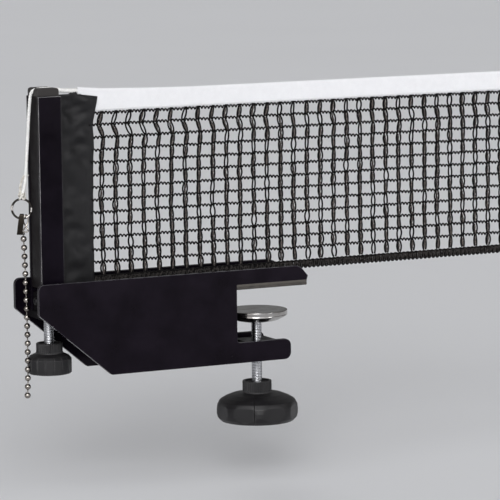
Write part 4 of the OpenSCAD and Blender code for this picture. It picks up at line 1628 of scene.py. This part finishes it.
            while z < self.sleeve_top - 4:
                x = self.sleeve_edge(z) - inset
                y = side * (gap - 0.05 + self.sleeve_t / 2)
                path = [Vector((x, y - side * tuck, z)), Vector((x, y, z + 0.35)), Vector((x, y, z + 1.7)),
                        Vector((x, y - side * tuck, z + 2.05))]
                seam.tube(path, self.sleeve_stitch_r, 5)
                z += pitch
        sewn = self.place(seam, "sleeve_stitches", "dark_thread", "net_carrier", "sleeve_cloth")

    def build(self) -> None:
        """Builds the four parts of the net's end."""
        self.build_strands()
        self.build_band()
        self.build_tape()
        self.build_sleeve()


@dataclass
class Knob(Assembly):
    """A moulded knob with flats round its rim, a ribbed hub and a nut in its underside."""

    axis_x: float
    top: float
    hub_r: float
    hub_h: float
    bottom: float
    shoulder: list[tuple[float, float, float]]
    flats: int
    flat_reach: float
    softness: float
    ribs: int
    seam_angle: float
    finish: str = "knob"
    ridge_cut: float = 0.0
    steps: int = 192
    bore: float = 3.95
    hex_r: float = 7.6
    hex_t: float = 6.5
    hex_t: float = 6.5
    rib_height: float = 0.28
    rib_sink: float = 0.16
    seam_depth: float = 0.5
    def rim_shape(self, angle: float, radius: float, z: float) -> float:
        """Shapes a ring of the knob: flats on the rim, ribs on the hub, a hexagon for the nut.

        Args:
            angle: Angle round the knob.
            radius: The ring's round radius.
            z: Its height.

        Returns:
            The radius at that angle.
        """
        if z < self.bottom + self.hex_t + 0.1 and abs(radius - self.hex_r) < 0.35:
            return radius * math.cos(math.pi / 6) / math.cos(angle % (math.pi / 3) - math.pi / 6)
        if abs(radius - self.hub_r) < 0.25 and self.top - self.hub_h + 0.7 < z < self.top - 0.4:
            return radius + self.rib_height * math.cos(self.ribs * angle) - self.rib_sink
        if radius > self.hub_r + 3:
            part = TURN / self.flats
            delta = (angle + part / 2) % part - part / 2
            radius = soft_min(radius, self.flat_reach / math.cos(delta), self.softness)
            seam = (angle - self.seam_angle) % math.pi
            near = min(seam, math.pi - seam) * radius
            radius -= self.seam_depth * (1 - ease(near, 0.12, 0.55))
            radius -= self.ridge_cut * (1 - ease((part / 2 - abs(delta)) * radius, 0.1, 0.6))
        return radius

    def make_knob(self, name: str, body: str, node: str) -> None:
        """Builds the knob.

        Args:
            name: The piece's name.
            body: The body that it turns with.
            node: The CAD node that it replaces.
        """
        foot = self.top - self.hub_h
        inner = self.hub_r - 1.8
        corners = [
            (self.bore, self.top - 2.0, 0), (inner - 1.2, self.top - 2.0, 0),
            (inner - 1.0, self.top - 1.6, 0.1),
            (inner, self.top - 1.6, 0.2), (inner, self.top, 0.25), (self.hub_r, self.top, 0.5),
            (self.hub_r, self.top - 0.6, 0), (self.hub_r, self.top - 2.5, 0), (self.hub_r, foot + 2.2, 0),
            (self.hub_r, foot + 0.75, 0), (self.hub_r + 0.45, foot + 0.6, 0.12),
            (self.hub_r + 0.45, foot, 0.2)]
        corners += self.shoulder
        well = self.shoulder[-1][0] - 3.4
        corners += [
            (well, self.bottom, 0.3), (well - 0.6, self.bottom + 0.7, 0.3),
            (self.hex_r + 4.0, self.bottom + 0.7, 0.3), (self.hex_r + 3.4, self.bottom, 0.3),
            (self.hex_r + 0.2, self.bottom, 0), (self.hex_r, self.bottom + 0.2, 0),
            (self.hex_r, self.bottom + self.hex_t, 0), (self.bore, self.bottom + self.hex_t, 0)]
        form = Form()
        form.lathe(rounded_outline(corners, 6), self.steps, self.axis_x, shape=self.rim_shape)
        self.place(form, name, self.finish, body, "knob_plastic", node, 32.0)


@dataclass
class Thread:
    """The surface of a rod with a thread cut on it."""

    axis_x: float
    crest: float = 3.9
    root: float = 3.68
    pitch: float = 1.25
    sides: int = 36
    rows_per_turn: int = 8

    def groove(self, turn: float) -> float:
        """Gives how far the thread stands out at a share of its pitch, 0 at the root and 1 at the crest."""
        share = abs((turn % 1.0) * 2 - 1)
        return ease(share, 0.05, 0.45)

    def cut(self, form: Form, low: float, high: float, plain: tuple = ()) -> None:
        """Adds a threaded stretch of rod.

        Args:
            form: The form that it goes into.
            low: Lower end.
            high: Upper end.
            plain: Stretches with their own radius, as low, high, radius.
        """
        rows = round((high - low) / self.pitch * self.rows_per_turn)
        levels = {low + (high - low) * k / rows for k in range(rows + 1)}
        for start, end, _ in plain:
            levels = {z for z in levels if not start - 0.05 <= z <= end + 0.05}
            levels |= {start - 0.001, start, end, end + 0.001}
        rings = []
        for z in sorted(levels):
            chamfer = min(ease(z, low - 0.2, low + 1.0), ease(-z, -high - 0.2, -high + 1.0))
            fixed = [r for start, end, r in plain if start <= z <= end]
            ring = []
            for k in range(self.sides):
                angle, turn = TURN * k / self.sides, z / self.pitch - k / self.sides
                r = self.root + (self.crest - self.root) * self.groove(turn) * chamfer
                r = fixed[0] if fixed else r
                ring.append(Vector((self.axis_x + r * math.cos(angle), r * math.sin(angle), z)))
            rings.append(ring)
        form.skin(rings)


@dataclass
class ClampScrew(Assembly):
    """The large knob with its rod, and the chromed dish on the rod's tip."""

    disc_bottom: float = -29.0
    disc_r: float = 23.75
    disc_dish: float = 5.5
    disc_rim: float = 4.0
    disc_t: float = 1.2

    def build_dish(self) -> None:
        """Presses the dish, with a rolled upper lip and a collar for the tip."""
        r, t, low = self.disc_r, self.disc_t, self.disc_bottom
        rim = self.disc_dish + self.disc_rim
        corners = [
            (3.1, 0, 0.1), (9, 0.2, 1.0), (r * 0.72, self.disc_dish * 0.35, 6),
            (r - 1.6, self.disc_dish - 0.9, 0.8), (r - 0.35, self.disc_dish - 0.1, 0.4),
            (r, self.disc_dish + 0.5, 0.3), (r - 0.12, self.disc_dish + 1.0, 0.3),
            (r - 0.05, rim - 0.9, 0.3), (r, rim, 0.45), (r - t, rim, 0.3),
            (r - t, self.disc_dish + 1.2, 0.8), (r * 0.72 - 0.4, self.disc_dish * 0.35 + t, 5),
            (6, 0.2 + t, 0.3), (6, 5, 0.3), (3.1, 5, 0.1)]
        form = Form()
        form.lathe([Vector((p.x, p.y + low)) for p in rounded_outline(corners, 5)], 128)
        self.place(form, "pressed_dish", "chrome", "clamp_disc", "disc_chrome", "pressure_disc", 40.0)

    def build(self) -> None:
        """Builds the dish, the threaded rod and the knob, and dresses the small parts."""
        self.build_dish()
        form = Form()
        Thread(0.0).cut(form, -101.25, -29.3)
        tip = [(0.4, -29.4, 0), (3.0, -29.4, 0), (3.0, -22.6, 0.4), (0.4, -22.6, 0)]
        form.lathe(rounded_outline(tip, 4), 36)
        self.place(form, "clamp_threaded_rod", "screw", "clamp_screw", "zinc_steel", "clamp_spindle", 70.0)
        knob = Knob(
            self.finishes, axis_x=0.0, top=-74.0, hub_r=11.0, hub_h=9.0, bottom=-104.5,
            shoulder=[(19.6, -84.3, 8), (25.0, -86.5, 6), (28.8, -88.8, 2.5), (30.6, -92.2, 3),
                      (31.0, -95.6, 1.5), (31.0, -98.9, 2.0), (30.3, -101.8, 2.5), (27.8, -104.5, 1.0)],
            flats=8, flat_reach=29.6, softness=0.3, ribs=44, seam_angle=math.radians(-121), steps=384)
        knob.make_knob("large_grip_knob", "clamp_screw", "clamp_knob")
        for row in (("disc_face", "chrome", 0.25), ("tip_ring", "zinc", 0.15),
                    ("clamp_knob_nut", "zinc", 0.3)):
            self.dress(*row)


@dataclass
class HeightScrew(Assembly):
    """The small knob with the rod that lifts the slider."""

    axis_x: float = -170.8

    def build(self) -> None:
        """Builds the threaded rod and the knob, and dresses the nut."""
        form = Form()
        Thread(self.axis_x).cut(form, -50.75, 34.0, plain=((-1.7, 1.7, 3.0),))
        self.place(form, "height_threaded_rod", "post_screw", "height_screw", "zinc_steel",
                   "height_spindle", 70.0)
        knob = Knob(
            self.finishes, axis_x=self.axis_x, top=-31.5, hub_r=9.7, hub_h=7.5, bottom=-54.0,
            shoulder=[(14.6, -41.0, 1.0), (16.5, -43.3, 0.4), (16.7, -49.5, 1.5), (16.3, -53.2, 0.5),
                      (15.5, -54.0, 0.5)],
            flats=16, flat_reach=16.25, softness=0.02, ribs=36, seam_angle=math.radians(-35),
            finish="small_knob", ridge_cut=0.35)
        knob.make_knob("small_grip_knob", "height_screw", "height_knob")
        self.dress("height_knob_nut", "zinc", 0.3)


# ---------------------------------------------------------------- studio


@dataclass
class Studio:
    """Floor, lamps, world and camera."""

    floor_z: float = -0.150
    floor_size: float = 26000.0
    floor_shares: tuple[float, float] = (0.985, 1.015)
    floor_colour: Colour = (0.74, 0.745, 0.765)
    world_strength: float = 0.20
    box_strength: float = 1.75
    soft_box: tuple[float, float, float] = (-0.50, -0.80, 0.34)
    sun_strength: float = 1.15
    sun_angle: float = 28
    back_strength: float = 0.55
    back_angle: float = 40
    yaw: float = 26.398
    pitch: float = 7.2399
    roll: float = -0.6815
    lens: float = 235.57
    sensor: float = 36.0
    clip: tuple[float, float] = (0.05, 60.0)
    stand: tuple[float, float, float] = (-1.0981, -2.2030, 0.3386)

    def build_camera(self) -> None:
        """Sets the camera at the view's place and turn."""
        data = bpy.data.cameras.new("view_camera")
        data.lens, data.sensor_width = self.lens, self.sensor
        data.clip_start, data.clip_end = self.clip
        camera = new_object("view_camera", data)
        yaw, pitch, roll = (math.radians(a) for a in (self.yaw, self.pitch, self.roll))
        ahead = Vector((math.sin(yaw) * math.cos(pitch), math.cos(yaw) * math.cos(pitch), -math.sin(pitch)))
        right = Vector((math.cos(yaw), -math.sin(yaw), 0))
        up = right.cross(ahead)
        across = right * math.cos(roll) + up * math.sin(roll)
        top = up * math.cos(roll) - right * math.sin(roll)
        turn = Matrix((across, top, -ahead)).transposed()
        camera.matrix_world = Matrix.Translation(self.stand) @ turn.to_4x4()
        bpy.context.scene.camera = camera

    def build_floor(self) -> None:
        """Lays the wide plain floor that also fills the background."""
        grid = Form()
        size, steps = self.floor_size, 8
        marks = [-size / 2 + size * i / steps for i in range(steps + 1)]
        rows = [[Vector((x, y, self.floor_z / MM)) for x in marks] for y in marks]
        grid.skin(rows, capped=False, round_ring=False)
        material = bpy.data.materials.new("pale_floor")
        w = open_tree(material)
        tone = w.tint(w.pattern(1.3, 2.0), *(paint(self.floor_colour, share) for share in self.floor_shares))
        shader = w.node("ShaderNodeBsdfPrincipled", {"Base Color": tone, "Roughness": 0.9,
                                                     "Specular IOR Level": 0.1})
        w.node("ShaderNodeOutputMaterial", {"Surface": shader.outputs[0]})
        grid.make("studio_floor", material, 35.0, outward=False)

    def add_light(self, name: str, kind: str, way: Vector, energy: float, place: tuple = (0, 0, 0),
                  **settings: object) -> bpy.types.Object:
        """Adds one lamp or distant light.

        Args:
            name: The light's name.
            kind: Blender's name of its kind.
            way: The direction that its light goes.
            energy: Its power in watts, or a distant light's strength.
            place: Where it stands, in metres.
            **settings: Its own other settings.

        Returns:
            The light.
        """
        data = bpy.data.lights.new(name, kind)
        data.energy = energy
        for setting, value in settings.items():
            setattr(data, setting, value)
        light = new_object(name, data)
        light.location = place
        light.rotation_mode = "QUATERNION"
        light.rotation_quaternion = way.to_track_quat("-Z", "Y")
        return light

    def build_light(self) -> None:
        """Lights the object softly from the front left, the right and behind."""
        world = bpy.data.worlds.new("studio_world")
        w = open_tree(world)
        way = w.node("ShaderNodeTexCoord").outputs["Generated"]
        toward = w.node("ShaderNodeVectorMath", {0: way, 1: tuple(Vector(self.soft_box).normalized())},
                        operation="DOT_PRODUCT").outputs["Value"]
        level = w.span(toward, 0.5, 0.97, self.world_strength, self.box_strength)
        sky = w.node("ShaderNodeBackground", {"Color": paint((0.985, 0.99, 1.0)), "Strength": level})
        w.node("ShaderNodeOutputWorld", {"Surface": sky.outputs[0]})
        bpy.context.scene.world = world
        self.add_light("broad_key", "SUN", Vector((0.42, 0.80, -0.40)), self.sun_strength,
                       angle=math.radians(self.sun_angle))
        for name, place, aim, size, power in (
                ("side_lamp", (1.9, -1.2, 1.2), (0, 0, 0.03), 0.9, 3.0),
                ("edge_lamp", (-2.3, -1.15, 0.35), (-0.1, 0, 0.03), 0.6, 3.0),
                ("low_lamp", (1.15, -2.35, 0.30), (0, 0, 0.0), 0.7, 6.0)):
            self.add_light(name, "AREA", Vector(aim) - Vector(place), power, place, shape="SQUARE", size=size)
        self.add_light("back_key", "SUN", Vector((-0.22, -0.86, -0.46)), self.back_strength,
                       angle=math.radians(self.back_angle)).visible_glossy = False

    def build(self) -> None:
        """Builds the whole studio."""
        bpy.context.scene.view_settings.view_transform = "Standard"
        self.build_camera()
        self.build_floor()
        self.build_light()


def main() -> None:
    """Builds the studio and every sub-assembly."""
    logging.basicConfig(level=logging.INFO, format="%(name)s: %(message)s")
    Studio().build()
    palette = Palette()
    finishes = {name: getattr(palette, name).build() for name in Palette.__dataclass_fields__}
    for assembly in (Lanyard(finishes), Bracket(finishes), Post(finishes), Netting(finishes),
                     ClampScrew(finishes), HeightScrew(finishes)):
        assembly.build()


if __name__ == "__main__":
    main()
